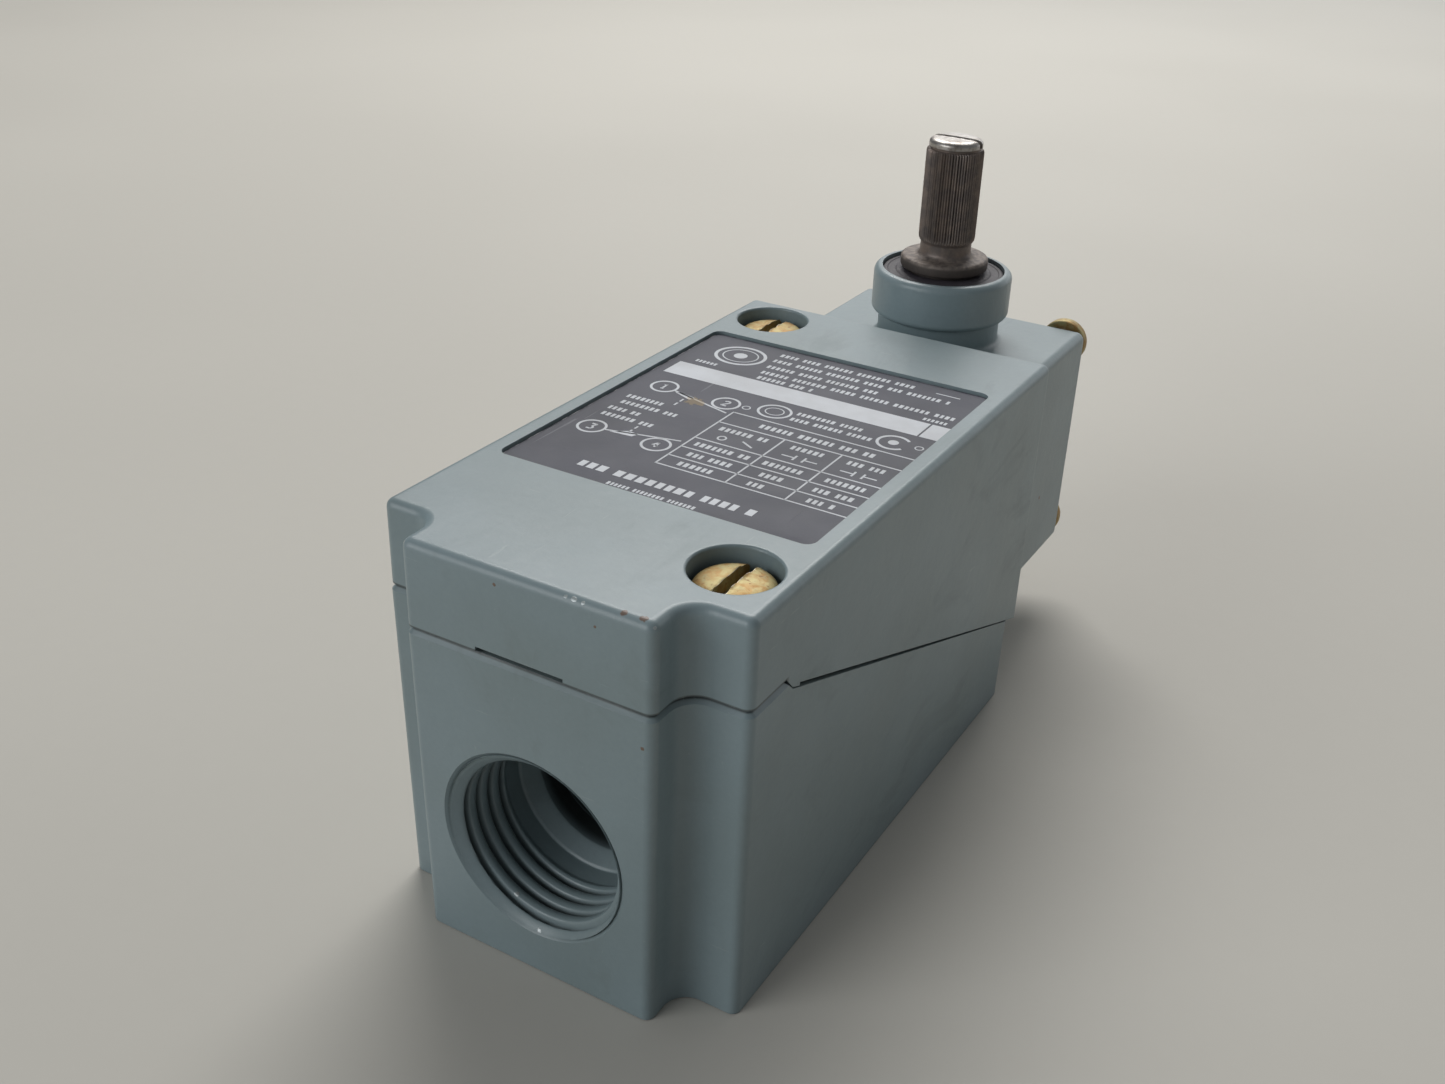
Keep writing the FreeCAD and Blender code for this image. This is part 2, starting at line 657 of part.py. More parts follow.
# ================================================================ BASE
def base_housing():
    body = new_body("Base")
    block_half, half = dims.block_half_width, dims.base_half_width
    pad_outline(body, "XY_Plane", dims.parting_z,
                plan(half, block_half, dims.block_face_y, dims.shoulder_y, dims.base_end_y),
                dims.parting_z, reverse=True, taper=-dims.draft_deg)
    fillet(body, upright_at((block_half, dims.shoulder_y)), dims.notch_round)
    fillet(body, upright_at((block_half, dims.block_face_y), (half, dims.shoulder_y)),
           dims.edge_round)
    fillet(body, upright_at((half, dims.base_end_y)), dims.end_round)

    # slanted parting surface
    beyond_y, above_z = dims.base_end_y + 5, dims.parting_z + 5
    cut_outline(body, "YZ_Plane", None,
                [(dims.flat_end_y, dims.parting_z), (dims.slant_start_y, dims.slant_start_z),
                 (beyond_y, slant(beyond_y)), (beyond_y, above_z), (dims.flat_end_y, above_z)],
                THROUGH_WIDTH, symmetric=True)

    # chamfer the flat parting edges, but not its straight sides or the line at the slant
    def flat_parting_edge(edge):
        bounds, end = edge.BoundBox, dims.flat_end_y.value
        at_slant = close(bounds.YMin, end) and bounds.YLength < 0.01
        return (flat_at(edge, dims.parting_z) and bounds.XLength > 0.3
                and bounds.YMax < end + 0.01 and not at_slant)

    chamfer(body, flat_parting_edge, dims.parting_chamfer)

    # wiring space
    cut_outline(body, "XY_Plane", dims.parting_z, space_outline(),
                dims.parting_z - dims.base_floor)
    round_space(body, dims.cavity_nose_y)

    # conduit entry: full-depth bore, mouth chamfer, wire passage
    centres = [(0, dims.conduit_z)]
    cut_holes(body, "XZ_Plane", -dims.block_face_y, centres, dims.conduit_radius,
              dims.conduit_depth)
    chamfer(body, lambda edge: edge.BoundBox.YMax < dims.block_face_y.value + 1.0
            and edge.BoundBox.ZMin > 4.5 and edge.BoundBox.ZMax < 27.0
            and abs(edge.CenterOfMass.x) < 12, dims.conduit_chamfer)
    cut_holes(body, "XZ_Plane", -dims.block_face_y - dims.conduit_depth, centres,
              dims.throat_radius,
              dims.cavity_front_y - dims.block_face_y - dims.conduit_depth + 0.5)

    # mounting holes and their seats, then captive threads and their ring counterbores;
    # columns: centres, lower level, radius, height of the cut
    holes = (
        ((near_mount, far_mount), None, dims.mount_hole_radius, dims.parting_z + 1),
        ((near_mount,), dims.mount_near_seat, dims.mount_head_radius, 12),
        ((far_mount,), dims.mount_far_seat, dims.mount_head_radius, 12),
        ((near_captive,), dims.near_thread_top, dims.ring_bore_radius, 12),
        ((near_captive,), dims.near_thread_top - dims.thread_length,
         dims.thread_hole_radius, 16),
        ((far_captive,), dims.far_thread_top, dims.ring_bore_radius, 12),
        ((far_captive,), dims.far_thread_top - dims.thread_length,
         dims.thread_hole_radius, 16),
    )
    for centres, level, radius, height in holes:
        cut_holes(body, "XY_Plane", level, centres, radius, height, reverse=True)

    # relief under the switch body's two lower screw bosses
    relief_half = 2.8
    for side in SIDES:
        x = mirrored(side, dims.head_screw_pitch - relief_half,
                     dims.head_screw_pitch + relief_half)
        cut_outline(body, "XY_Plane", slant(dims.body_end_y) - 0.35,
                    rectangle(x, (dims.base_end_y - 1.8, dims.base_end_y + 1)), 6,
                    reverse=True)

    # floor holes for the terminal block screws and the ground screw
    cut_holes(body, "XY_Plane", 1.4, base_screw_places, 1.25, 5, reverse=True)
    cut_holes(body, "XY_Plane", 1.2, [(0, dims.ground_screw_y)], 1.55, 5, reverse=True)
    return body


# ================================================================ SWITCH BODY CASTING
def slanted_ring(inner, outer, low, high, name):
    """Ring between two grown space outlines, between two lifts over the slanted parting."""
    def prism(grow):
        corners = [Vector(x.value, y.value, 0) for x, y in space_outline(grow)]
        return Part.Face(Part.makePolygon(corners + [corners[0]])).extrude(Vector(0, 0, 60))

    ring = prism(outer).cut(prism(inner))
    side = [Vector(-30, y, (slant(y) + lift).value)
            for y, lift in ((-40.0, low), (50.0, low), (50.0, high), (-40.0, high))]
    slab = Part.Face(Part.makePolygon(side + [side[0]])).extrude(Vector(60, 0, 0))
    return shape_object(name, ring.common(slab).Solids[0])


def switch_body_housing():
    body = new_body("SwitchBody")
    low_z = slant(dims.body_end_y) - 1.0
    half, block_half = dims.body_half_width, dims.block_half_width - dims.body_inset
    face, shoulder = dims.block_face_y + dims.body_inset, dims.shoulder_y + dims.body_inset
    pad_outline(body, "XY_Plane", low_z,
                plan(half, block_half, face, shoulder, dims.body_end_y), dims.front_z - low_z)
    fillet(body, upright_at((block_half, shoulder)), dims.notch_round)
    fillet(body, upright_at((block_half, face), (half, shoulder), (half, dims.body_end_y)),
           dims.edge_round)
    fillet(body, lambda edge: flat_at(edge, dims.front_z), dims.front_round)

    # underside follows the base parting with a thin gap; points are (y, z)
    near_y, far_y = dims.block_face_y - 3, dims.body_end_y + 3
    flat_z = dims.parting_z + 0.26
    below_z = 0.5
    cut_outline(body, "YZ_Plane", None, [
        (near_y, flat_z),
        (dims.flat_end_y + 0.1, flat_z),
        (dims.slant_start_y + 0.1, dims.slant_start_z + 0.1),
        (dims.slant_start_y + 1.5, slant(dims.slant_start_y + 1.5, 0.12)),
        (dims.slant_start_y + 1.55, slant(dims.slant_start_y + 1.55) + dims.parting_gap_near),
        (far_y, slant(far_y) + dims.parting_gap_far),
        (far_y, below_z),
        (near_y, below_z),
    ], THROUGH_WIDTH, symmetric=True)

    # two screw bosses reach a little below the slanted underside at the head end
    boss_half = 2.6
    for side in SIDES:
        x = mirrored(side, dims.head_screw_pitch - boss_half,
                     dims.head_screw_pitch + boss_half)
        pad_outline(body, "XY_Plane", slant(dims.body_end_y) + 0.1,
                    rectangle(x, (dims.base_end_y - 1.5, dims.body_end_y - 0.5)), 4)

    # pry slot in the conduit end edge
    cut_outline(body, "XZ_Plane", -dims.block_face_y + 1,
                rectangle((-5.6, 4.4), (dims.parting_z - 1, dims.parting_z + 0.75)), 3.2)

    # inside space
    cut_outline(body, "XY_Plane", dims.ceiling_z, space_outline(0.0, dims.end_wall_y), 40)
    round_space(body, dims.end_wall_y)

    # nameplate recess
    plate_x, plate_y = dims.plate_half_x, dims.plate_half_y
    cut_outline(body, "XY_Plane", dims.front_z,
                rectangle((-plate_x, plate_x), (-plate_y, plate_y)), dims.plate_recess)
    fillet(body, lambda edge: close(edge.BoundBox.ZLength, dims.plate_recess.value)
           and close(abs(edge.CenterOfMass.x), plate_x.value)
           and close(abs(edge.CenterOfMass.y), plate_y.value), dims.plate_corner)

    # captive screw recesses, clearance holes and room for the retaining rings
    captives = (near_captive, far_captive)
    cut_holes(body, "XY_Plane", dims.front_z, captives, dims.recess_radius,
              dims.front_z - dims.screw_seat_z)
    fillet(body, lambda edge: close(radius_of(edge), dims.recess_radius.value)
           and close(edge.CenterOfMass.z, dims.front_z.value), 0.3)
    cut_holes(body, "XY_Plane", dims.front_z, captives, dims.captive_hole_radius, 45)
    ring_room = dims.ring_bore_radius + 0.1
    cut_holes(body, "XY_Plane", slant(dims.pattern_half_y) + 1.3, [far_captive], ring_room, 8)
    cut_holes(body, "XY_Plane", dims.parting_z + 0.1, [near_captive], ring_room, 5)

    # end wall: guide bore and four tapped holes for the head
    cut_holes(body, "XZ_Plane", -dims.body_end_y, [(0, dims.plunger_z)], dims.guide_outer, 6,
              reverse=True)
    cut_holes(body, "XZ_Plane", -dims.body_end_y, head_screw_places,
              dims.head_screw_radius + 0.05, 2.9, reverse=True)

    # ceiling holes for the contact block screws
    cut_holes(body, "XY_Plane", dims.ceiling_z - 0.1, block_screw_places, 1.05, 1.9,
              reverse=True)

    # gasket groove in the slanted underside, a little wider and deeper than the gasket
    groove = slanted_ring(dims.gasket_inner - 0.1, dims.gasket_inner + dims.gasket_width + 0.1,
                          -0.5, dims.gasket_thick + 0.12, "GasketGroove")
    return cut(body, groove)


def body_gasket():
    return slanted_ring(dims.gasket_inner, dims.gasket_inner + dims.gasket_width,
                        0.02, dims.gasket_thick, "Gasket")


def nameplate():
    body = new_body("Plate")
    half_x, half_y = dims.plate_half_x - dims.plate_gap, dims.plate_half_y - dims.plate_gap
    pad_outline(body, "XY_Plane", dims.front_z - dims.plate_recess,
                rectangle((-half_x, half_x), (-half_y, half_y)), dims.plate_thick)
    fillet(body, lambda edge: close(edge.BoundBox.ZLength, dims.plate_thick.value),
           dims.plate_corner - 0.1)
    return body


# ---------------------------------------------------------------- captive screws
def captive_screw(name, place, ring_z, tip_z):
    body = new_body(name)
    top = dims.screw_seat_z + dims.captive_head_high
    seat = dims.screw_seat_z + 0.03
    head, shank, neck = (dims.captive_head_radius, dims.captive_shank_radius,
                         dims.captive_neck_radius)
    neck_low, neck_high = ring_z - 0.1, ring_z + dims.ring_thick + 0.1
    revolve(body, [
        (0, tip_z), (shank - 0.6, tip_z), (shank, tip_z + 0.6),
        (shank, neck_low), (neck, neck_low), (neck, neck_high), (shank, neck_high),
        (shank, seat), (head, seat), (head, top - 1.0), (head - 0.45, top - 0.45),
        (head - 1.5, top - 0.1), (0, top),
    ])
    slot_half, slot_reach = dims.slot_width * 0.5, head + 1
    cut_outline(body, "XY_Plane", top + 0.5,
                rectangle((-slot_half, slot_half), (-slot_reach, slot_reach)),
                dims.slot_depth + 0.5)
    place_body(body, *place)
    return body


def captive_ring(place, ring_z):
    return tube(dims.ring_outer, dims.captive_neck_radius + 0.05, "z",
                ring_z, ring_z + dims.ring_thick, *place)


# ================================================================ OPERATING HEAD
def head_housing():
    body = new_body("Head")
    half, start = dims.head_half_width, dims.head_start_y
    pad_outline(body, "XZ_Plane", -start,
                rectangle((-half, half), (dims.head_low_z, dims.head_high_z)),
                dims.head_end_y - start, reverse=True)
    fillet(body, lambda edge: not edge.BoundBox.YMax < start.value + 0.01, dims.head_round)

    # neck and collar round the shaft
    pad_disc(body, dims.head_high_z - 2, 0, dims.shaft_y, dims.neck_radius,
             dims.collar_low_z - dims.head_high_z + 2.5)
    pad_disc(body, dims.collar_low_z, 0, dims.shaft_y, dims.collar_radius,
             dims.collar_high_z - dims.collar_low_z)
    fillet(body, rim_at(dims.collar_radius, dims.collar_low_z), 0.8)
    fillet(body, rim_at(dims.collar_radius, dims.collar_high_z), 0.9)
    fillet(body, rim_at(dims.neck_radius, dims.head_high_z), 0.8)

    # space for the cam and follower, open at the near face
    space_half = dims.head_space_half
    cut_outline(body, "XZ_Plane", -start,
                rectangle((-space_half, space_half),
                          (dims.head_space_low, dims.head_space_high)),
                dims.head_space_end - start)

    # boss of the lower bearing, rooted 1 mm in the floor
    boss_low = dims.head_space_low - 1
    pad_disc(body, boss_low, 0, dims.shaft_y, dims.lower_boss_radius,
             dims.lower_boss_high - boss_low)

    # lower bushing bore, upper bushing bore and seal recess;
    # columns: lower level, radius, height of the cut
    for level, radius, height in (
            (lower_bush_low, dims.lower_bush_outer, 10),
            (dims.head_space_high - 1, dims.bush_outer, 20),
            (dims.seal_low_z, dims.collar_bore, 20)):
        cut_holes(body, "XY_Plane", level, [(0, dims.shaft_y)], radius, height, reverse=True)

    # screw holes through the head
    cut_holes(body, "XZ_Plane", -start, head_screw_places, dims.head_screw_hole, 40)
    return body


def head_gasket():
    sheet_half = dims.head_half_width - 0.4
    blank = box((-sheet_half, sheet_half),
                (dims.head_start_y - dims.gasket_sheet, dims.head_start_y),
                (dims.head_low_z + 0.6, dims.head_high_z - 0.4))
    bore_radius = 6.2
    hole_low, hole_high = 30, 40
    holes = [cylinder(bore_radius, "y", hole_low, hole_high, 0, dims.plunger_z)]
    holes += [cylinder(dims.head_screw_hole, "y", hole_low, hole_high, x, z)
              for x, z in head_screw_places]
    return cut(blank, *holes)


def head_screws():
    return group(*[
        slotted_screw("y", x, z, head_radius=dims.head_screw_head,
                      seat=dims.head_end_y + 0.02,
                      crown=dims.head_end_y + dims.head_screw_high, rim_round=1.1,
                      shank_radius=dims.head_screw_radius, tip=dims.head_screw_tip_y,
                      slot_half=0.55, slot_depth=1.1)
        for x, z in head_screw_places])


def shaft_bushing():
    return tube(dims.bush_outer, dims.bush_inner, "z", dims.head_space_high, dims.seal_low_z,
                0, dims.shaft_y)


def lower_bushing():
    return tube(dims.lower_bush_outer, dims.tail_radius + 0.05, "z", lower_bush_low,
                dims.lower_boss_high, 0, dims.shaft_y)


def shaft_seal():
    return tube(dims.collar_bore - 0.05, dims.journal_radius + 0.06, "z",
                dims.seal_low_z + 0.02, dims.flange_low_z - 0.35, 0, dims.shaft_y)


# ---------------------------------------------------------------- shaft and cam
def operating_shaft():
    body = new_body("Shaft")
    low, tip = dims.shaft_low_z, dims.shaft_tip_z
    tail, clip, seat = dims.tail_radius, dims.clip_groove_radius, dims.cam_seat_radius
    journal, flange = dims.journal_radius, dims.flange_radius
    neck, outer = dims.shaft_neck_radius, dims.shaft_radius
    knurl_low, knurl_high = dims.knurl_low_z, dims.knurl_high_z
    revolve(body, [
        (0, low), (tail - 0.3, low), (tail, low + 0.3),
        (tail, dims.clip_groove_low), (clip, dims.clip_groove_low), (clip, dims.tail_top_z),
        (seat, dims.tail_top_z), (seat, dims.journal_low_z), (journal, dims.journal_low_z),
        (journal, dims.flange_low_z), (flange, dims.flange_low_z),
        (flange, dims.flange_high_z - 0.35), (flange - 0.35, dims.flange_high_z),
        (neck + 0.3, dims.flange_high_z), (neck, dims.flange_high_z + 0.4),
        (neck, knurl_low - 0.4), (outer, knurl_low), (outer, knurl_high),
        (outer - 0.4, knurl_high + 0.15), (outer - 0.4, knurl_high + 0.35),
        (outer - 0.25, knurl_high + 0.5), (outer - 0.25, tip - 0.6), (outer - 0.9, tip),
        (0, tip),
    ])
    # slot across the tip
    cut_outline(body, "XY_Plane", tip + 0.5, rectangle((-5, 5), (-0.45, 0.45)), 1.9)
    # drive pin hole along X
    cut_holes(body, "YZ_Plane", -6, [(0, dims.pin_z)], dims.pin_radius, 12, reverse=True)
    place_body(body, 0, dims.shaft_y)
    return body


def drive_pin():
    reach = dims.hub_radius - 0.1
    return cylinder(dims.pin_radius, "x", -reach, reach, dims.shaft_y, dims.pin_z)


def cam_support(angle):
    """Support distance of the cam and its derivative at an angle in radians.

    It rises in proportion to the turn over the working range and a margin at each
    end, then falls back along a cubic with matching ends.
    """
    turn = math.radians(dims.cam_turn.value)
    slope = dims.cam_rise.value / turn
    margin = math.radians(6)
    start, end = -margin, turn + margin
    angle = (angle + math.pi) % (2 * math.pi) - math.pi
    if angle < start:
        angle += 2 * math.pi
    if angle <= end:
        return dims.cam_base.value + slope * angle, slope
    span = 2 * math.pi - (end - start)
    u = (angle - end) / span
    top, bottom = dims.cam_base.value + slope * end, dims.cam_base.value + slope * start
    end_slope = slope * span
    distance = ((2 * u**3 - 3 * u**2 + 1) * top + (u**3 - 2 * u**2 + u) * end_slope
                + (-2 * u**3 + 3 * u**2) * bottom + (u**3 - u**2) * end_slope)
    change = ((6 * u**2 - 6 * u) * top + (3 * u**2 - 4 * u + 1) * end_slope
              + (-6 * u**2 + 6 * u) * bottom + (3 * u**2 - 2 * u) * end_slope)
    return distance, change / span


def cam_outline():
    """Closed curve for a flat-faced follower: distance * normal + derivative * tangent."""
    steps = 120
    points = []
    for k in range(steps):
        angle = 2 * math.pi * k / steps
        distance, change = cam_support(angle)
        # angles count from the direction of the follower (-Y)
        direction = -math.pi / 2 + angle
        cosine, sine = math.cos(direction), math.sin(direction)
        points.append(Vector(distance * cosine - change * sine,
                             distance * sine + change * cosine, 0))
    curve = Part.BSplineCurve()
    curve.interpolate(points, PeriodicFlag=True)
    return Part.Wire([curve.toShape()])


def shaft_cam():
    low, high = dims.cam_low_z.value, dims.cam_high_z.value
    lobe = Part.Face(cam_outline()).extrude(Vector(0, 0, high - low))
    lobe.translate(Vector(0, 0, low))
    hub = Part.makeCylinder(dims.hub_radius.value, dims.hub_high_z.value - high,
                            Vector(0, 0, high))
    # window for the drive pin: a slot swept in 4 degree steps through the working turn
    window_low = dims.pin_z.value - dims.pin_radius.value - 0.1
    half = dims.pin_radius.value + 0.05
    free_turn = dims.cam_turn.value
    steps = int(free_turn / 4)
    slots = []
    for k in range(steps + 1):
        slot = Part.makeBox(20, 2 * half, 10, Vector(-10, -half, window_low))
        slot.rotate(Vector(0, 0, 0), Vector(0, 0, 1), free_turn * k / steps)
        slots.append(slot)
    window = slots[0].multiFuse(slots[1:])
    bore = Part.makeCylinder(dims.cam_bore.value, 40, Vector(0, 0, 0))
    shape = lobe.fuse(hub).removeSplitter().cut(bore).cut(window)
    cam = shape_object("Cam", shape.Solids[0] if len(shape.Solids) == 1 else shape)
    cam.Placement = Placement(Vector(0, dims.shaft_y.value, 0), Rotation())
    return cam


def cam_retaining_ring():
    return tube(5.0, dims.clip_groove_radius + 0.05, "z", dims.clip_groove_low + 0.1,
                dims.tail_top_z - 0.1, 0, dims.shaft_y)


# ---------------------------------------------------------------- follower plunger
follower_face_y = dims.shaft_y - dims.cam_base - dims.follower_gap
follower_back_y = follower_face_y - dims.follower_disc_thick


def follower_plunger():
    return fuse(cylinder(dims.follower_disc, "y", follower_back_y, follower_face_y,
                         0, dims.plunger_z),
                cylinder(dims.stem_radius, "y", dims.stem_tip_y, follower_back_y + 0.5,
                         0, dims.plunger_z))


def plunger_bushing():
    end = dims.body_end_y
    sleeve = cylinder(dims.guide_outer, "y", dims.end_wall_y, end + 0.5, 0, dims.plunger_z)
    flange = cylinder(6.0, "y", end, end + dims.guide_flange, 0, dims.plunger_z)
    bore = cylinder(dims.guide_inner, "y", dims.end_wall_y - 1, end + 3, 0, dims.plunger_z)
    seal_groove = cylinder(dims.guide_outer - 0.8, "y", 33.4, 34.9, 0, dims.plunger_z)
    return cut(fuse(sleeve, flange), bore, seal_groove)


def plunger_seal():
    return tube(dims.guide_outer - 0.85, dims.stem_radius + 0.06, "y", 33.45, 34.85,
                0, dims.plunger_z)


# ---------------------------------------------------------------- springs
def plunger_return_spring():
    low = dims.body_end_y + dims.guide_flange + 0.05
    return coil("PlungerSpring", radius=3.6, wire=0.4, turns=3.0, axis="y",
                low=low, length=follower_back_y - low - 0.05, a=0, b=dims.plunger_z)


def carrier_return_spring():
    low = dims.contact_front_y + dims.contact_end + 0.05
    return coil("CarrierSpring", radius=2.0, wire=0.3, turns=3.0, axis="y",
                low=low, length=dims.carrier_front_y - 0.05 - low, a=0, b=dims.plunger_z)


def shaft_return_spring():
    return coil("ShaftSpring", radius=5.5, wire=0.45, turns=2.0, axis="z",
                low=34.7, length=2.9, a=0, b=dims.shaft_y)


def contact_springs():
    nc_low = dims.nc_bridge_y - 3.9
    no_low = dims.no_bridge_y + dims.bridge_thick + 0.1
    return group(*[
        coil(name, radius=0.95, wire=0.18, turns=3.0, axis="y", low=low, length=3.8,
             a=0, b=dims.plunger_z)
        for name, low in (("NcSpring", nc_low), ("NoSpring", no_low))])


# ================================================================ CONTACT BLOCK
# faces of the fixed strips towards the bridges: near face for nc, far face for no
nc_face_y = dims.nc_bridge_y + dims.bridge_thick + dims.tip_thick + 0.02 + dims.tip_thick
no_face_y = dims.no_bridge_y - dims.tip_thick - dims.cam_rise - 0.05 - dims.tip_thick
STRIP_Y = {
    "nc": (nc_face_y, nc_face_y + dims.blade_thick),
    "no": (no_face_y - dims.blade_thick, no_face_y),
}
TIP_Y = {
    "nc": (nc_face_y - dims.tip_thick, nc_face_y + 0.3),
    "no": (no_face_y - 0.3, no_face_y + dims.tip_thick),
}


def fixed_contacts(kind):
    """Pair of fixed contacts: strip, tip and plug blade in one piece on each side."""
    contacts = []
    for side in SIDES:
        strip = box(mirrored(side, dims.tip_x - 1.8, dims.blade_outer_x), STRIP_Y[kind],
                    (dims.strip_low_z, dims.strip_high_z))
        blade = box(mirrored(side, dims.blade_inner_x, dims.blade_outer_x), STRIP_Y[kind],
                    (dims.blade_low_z, dims.strip_low_z + 0.4))
        tip = cylinder(dims.tip_radius, "y", *TIP_Y[kind], side * dims.tip_x, dims.plunger_z)
        contacts.append(fuse(strip, blade, tip))
    return group(*contacts)


def contact_box(low, high):
    """Outside of the contact block between two levels."""
    return box((-dims.contact_half, dims.contact_half),
               (dims.contact_front_y, dims.contact_back_y), (low, high))


def contact_hollow(low, high):
    half = dims.contact_half - dims.contact_wall
    return box((-half, half), (dims.contact_front_y + dims.contact_end,
                               dims.contact_back_y - dims.contact_end), (low, high))


def block_screw_holes():
    return [cylinder(1.1, "z", 16, 45, x, y) for x, y in block_screw_places]


def contact_block():
    low, split = dims.contact_low_z, dims.contact_split_z
    tray = contact_box(low, split)
    hollow = contact_hollow(low + 2.5, split + 5)
    carrier_half = dims.carrier_half + 0.05
    end_slot = box((-carrier_half, carrier_half),
                   (dims.contact_back_y - dims.contact_end - 1, dims.contact_back_y + 1),
                   (dims.carrier_low - 0.05, split + 5))
    gap = 0.05
    blade_slots = []
    for side in SIDES:
        for y_low, y_high in STRIP_Y.values():
            x = mirrored(side, dims.blade_inner_x - gap, dims.blade_outer_x + gap)
            blade_slots.append(box(x, (y_low - gap, y_high + gap), (low - 1, low + 4)))
    return cut(tray, hollow, end_slot, *blade_slots, *block_screw_holes())


def contact_block_cover():
    split, high = dims.contact_split_z, dims.contact_high_z
    return cut(contact_box(split + 0.02, high), contact_hollow(split - 2, high - 2.5),
               *block_screw_holes())


def contact_block_screws():
    return group(*[
        slotted_screw("z", x, y, head_radius=1.9, seat=dims.contact_low_z - 0.02, crown=16.4,
                      rim_round=0.5, shank_radius=1.0, tip=43.4,
                      slot_half=0.3, slot_depth=0.7)
        for x, y in block_screw_places])


def contact_carrier():
    """Bar with a window for each bridge and a blind hole in its near end."""
    half, front = dims.carrier_half, dims.carrier_front_y
    bar = box((-half, half), (front, dims.carrier_back_y),
              (dims.carrier_low, dims.carrier_high))
    window_length, window_half_z = 4.9, 1.4
    windows = [box((-half - 1, half + 1), (low, low + window_length),
                   (dims.plunger_z - window_half_z, dims.plunger_z + window_half_z))
               for low in (dims.nc_bridge_y - 4.0, dims.no_bridge_y - 0.05)]
    end_hole = cylinder(1.2, "y", front - 1, front + 2, 0, dims.plunger_z)
    return cut(bar, *windows, end_hole)


def bridge(y, tip_direction):
    """Bar with a tip at each end, on its +Y or -Y face as tip_direction is 1 or -1."""
    half_height = 1.3
    tip_root = y + 0.4
    if tip_direction > 0:
        tip_y = (tip_root, y + dims.bridge_thick + dims.tip_thick)
    else:
        tip_y = (y - dims.tip_thick, tip_root)
    bar = box((-dims.bridge_half, dims.bridge_half), (y, y + dims.bridge_thick),
              (dims.plunger_z - half_height, dims.plunger_z + half_height))
    tips = [cylinder(dims.tip_radius, "y", *tip_y, side * dims.tip_x, dims.plunger_z)
            for side in SIDES]
    return fuse(bar, *tips)


# ================================================================ TERMINALS IN THE BASE
TERMINAL_X = {"nc": dims.terminal_pitch * 0.5, "no": dims.terminal_pitch * 1.5}
# columns: side, kind, x of the terminal screw
TERMINALS = [(side, kind, side * TERMINAL_X[kind]) for kind in ("nc", "no") for side in SIDES]


def receptacle(side, kind, grow=0.0):
    """Boxes of a blade jaw and its run to a screw terminal; grow gives the pocket for it."""
    inner, outer = dims.blade_inner_x, dims.blade_outer_x
    y_low, y_high = STRIP_Y[kind]
    leaf = dims.jaw_gap + dims.jaw_thick
    jaw_y = (y_low - leaf, y_high + leaf)
    run_y = (dims.terminal_screw_y, y_high)
    riser_y = (dims.riser_low_y, dims.riser_high_y)
    jaw_z = (dims.foot_low_z, dims.jaw_high_z)
    foot_z = (dims.foot_low_z, dims.foot_high_z)
    centre = TERMINAL_X[kind]
    riser_low_x, riser_high_x = centre - dims.riser_half, centre + dims.riser_half
    run_x = outer - 2.5
    # columns: low x, high x, y range, z range, on the +X side
    bits = [
        (inner, outer, (y_low - leaf, y_low - dims.jaw_gap), jaw_z),
        (inner, outer, (y_high + dims.jaw_gap, y_high + leaf), jaw_z),
        (inner, outer, jaw_y, foot_z),
    ]
    if kind == "nc":
        bits += [(riser_low_x, outer, jaw_y, foot_z),
                 (riser_low_x, riser_high_x, run_y, foot_z)]
    else:
        bits += [(run_x, outer, run_y, foot_z)]
    bits += [
        (riser_low_x, riser_high_x, riser_y, (dims.foot_low_z, dims.tab_low_z + 0.4)),
        (centre - dims.tab_half, centre + dims.tab_half,
         (dims.terminal_screw_y - 2.8, dims.riser_high_y), (dims.tab_low_z, dims.tab_high_z)),
    ]
    if kind == "no":
        bits.append((run_x, riser_high_x, riser_y, foot_z))
    return [box(*[(low - grow, high + grow)
                  for low, high in (mirrored(side, x_low, x_high), y, z)])
            for x_low, x_high, y, z in bits]


def receptacle_contacts():
    return group(*[cut(fuse(*receptacle(side, kind)),
                       cylinder(1.7, "z", 11, 15, x, dims.terminal_screw_y))
                   for side, kind, x in TERMINALS])


def terminal_block():
    half, low, high = dims.terminal_half, dims.base_floor + 0.02, dims.terminal_high_z
    step_y = (dims.terminal_front_y, dims.terminal_step_y)
    fin_half = 0.45
    fins = []
    for k in range(-2, 3):
        x = dims.terminal_pitch * k
        fins.append(box((x - fin_half, x + fin_half), step_y,
                        (dims.terminal_step_z - 1, high + 1)))
    block = fuse(box((-half, half), step_y, (low, dims.terminal_step_z)),
                 box((-half, half), (dims.terminal_step_y, dims.terminal_back_y), (low, high)),
                 *fins)
    gap = 0.06
    leaf = dims.jaw_gap + dims.jaw_thick + gap
    tools = []
    for side, kind, x in TERMINALS:
        y_low, y_high = STRIP_Y[kind]
        tools += receptacle(side, kind, gap)
        tools.append(box(mirrored(side, dims.blade_inner_x - gap, dims.blade_outer_x + gap),
                         (y_low - leaf, y_high + leaf), (dims.foot_low_z, high + 1)))
        tools.append(cylinder(1.6, "z", 7.2, 14, x, dims.terminal_screw_y))
    # holding screw holes and their counterbores
    for x, y in base_screw_places:
        tools.append(cylinder(1.35, "z", 3, 16, x, y))
        tools.append(cylinder(2.75, "z", 12.6, 17, x, y))
    return cut(block, *tools)


def terminal_clamps():
    """Square plates with a screw hole, one on each terminal tab."""
    half, y = 2.8, dims.terminal_screw_y
    return group(*[cut(box((x - half, x + half), (y - half, y + half), (13.35, 14.15)),
                       cylinder(1.6, "z", 12, 16, x, y))
                   for side, kind, x in TERMINALS])


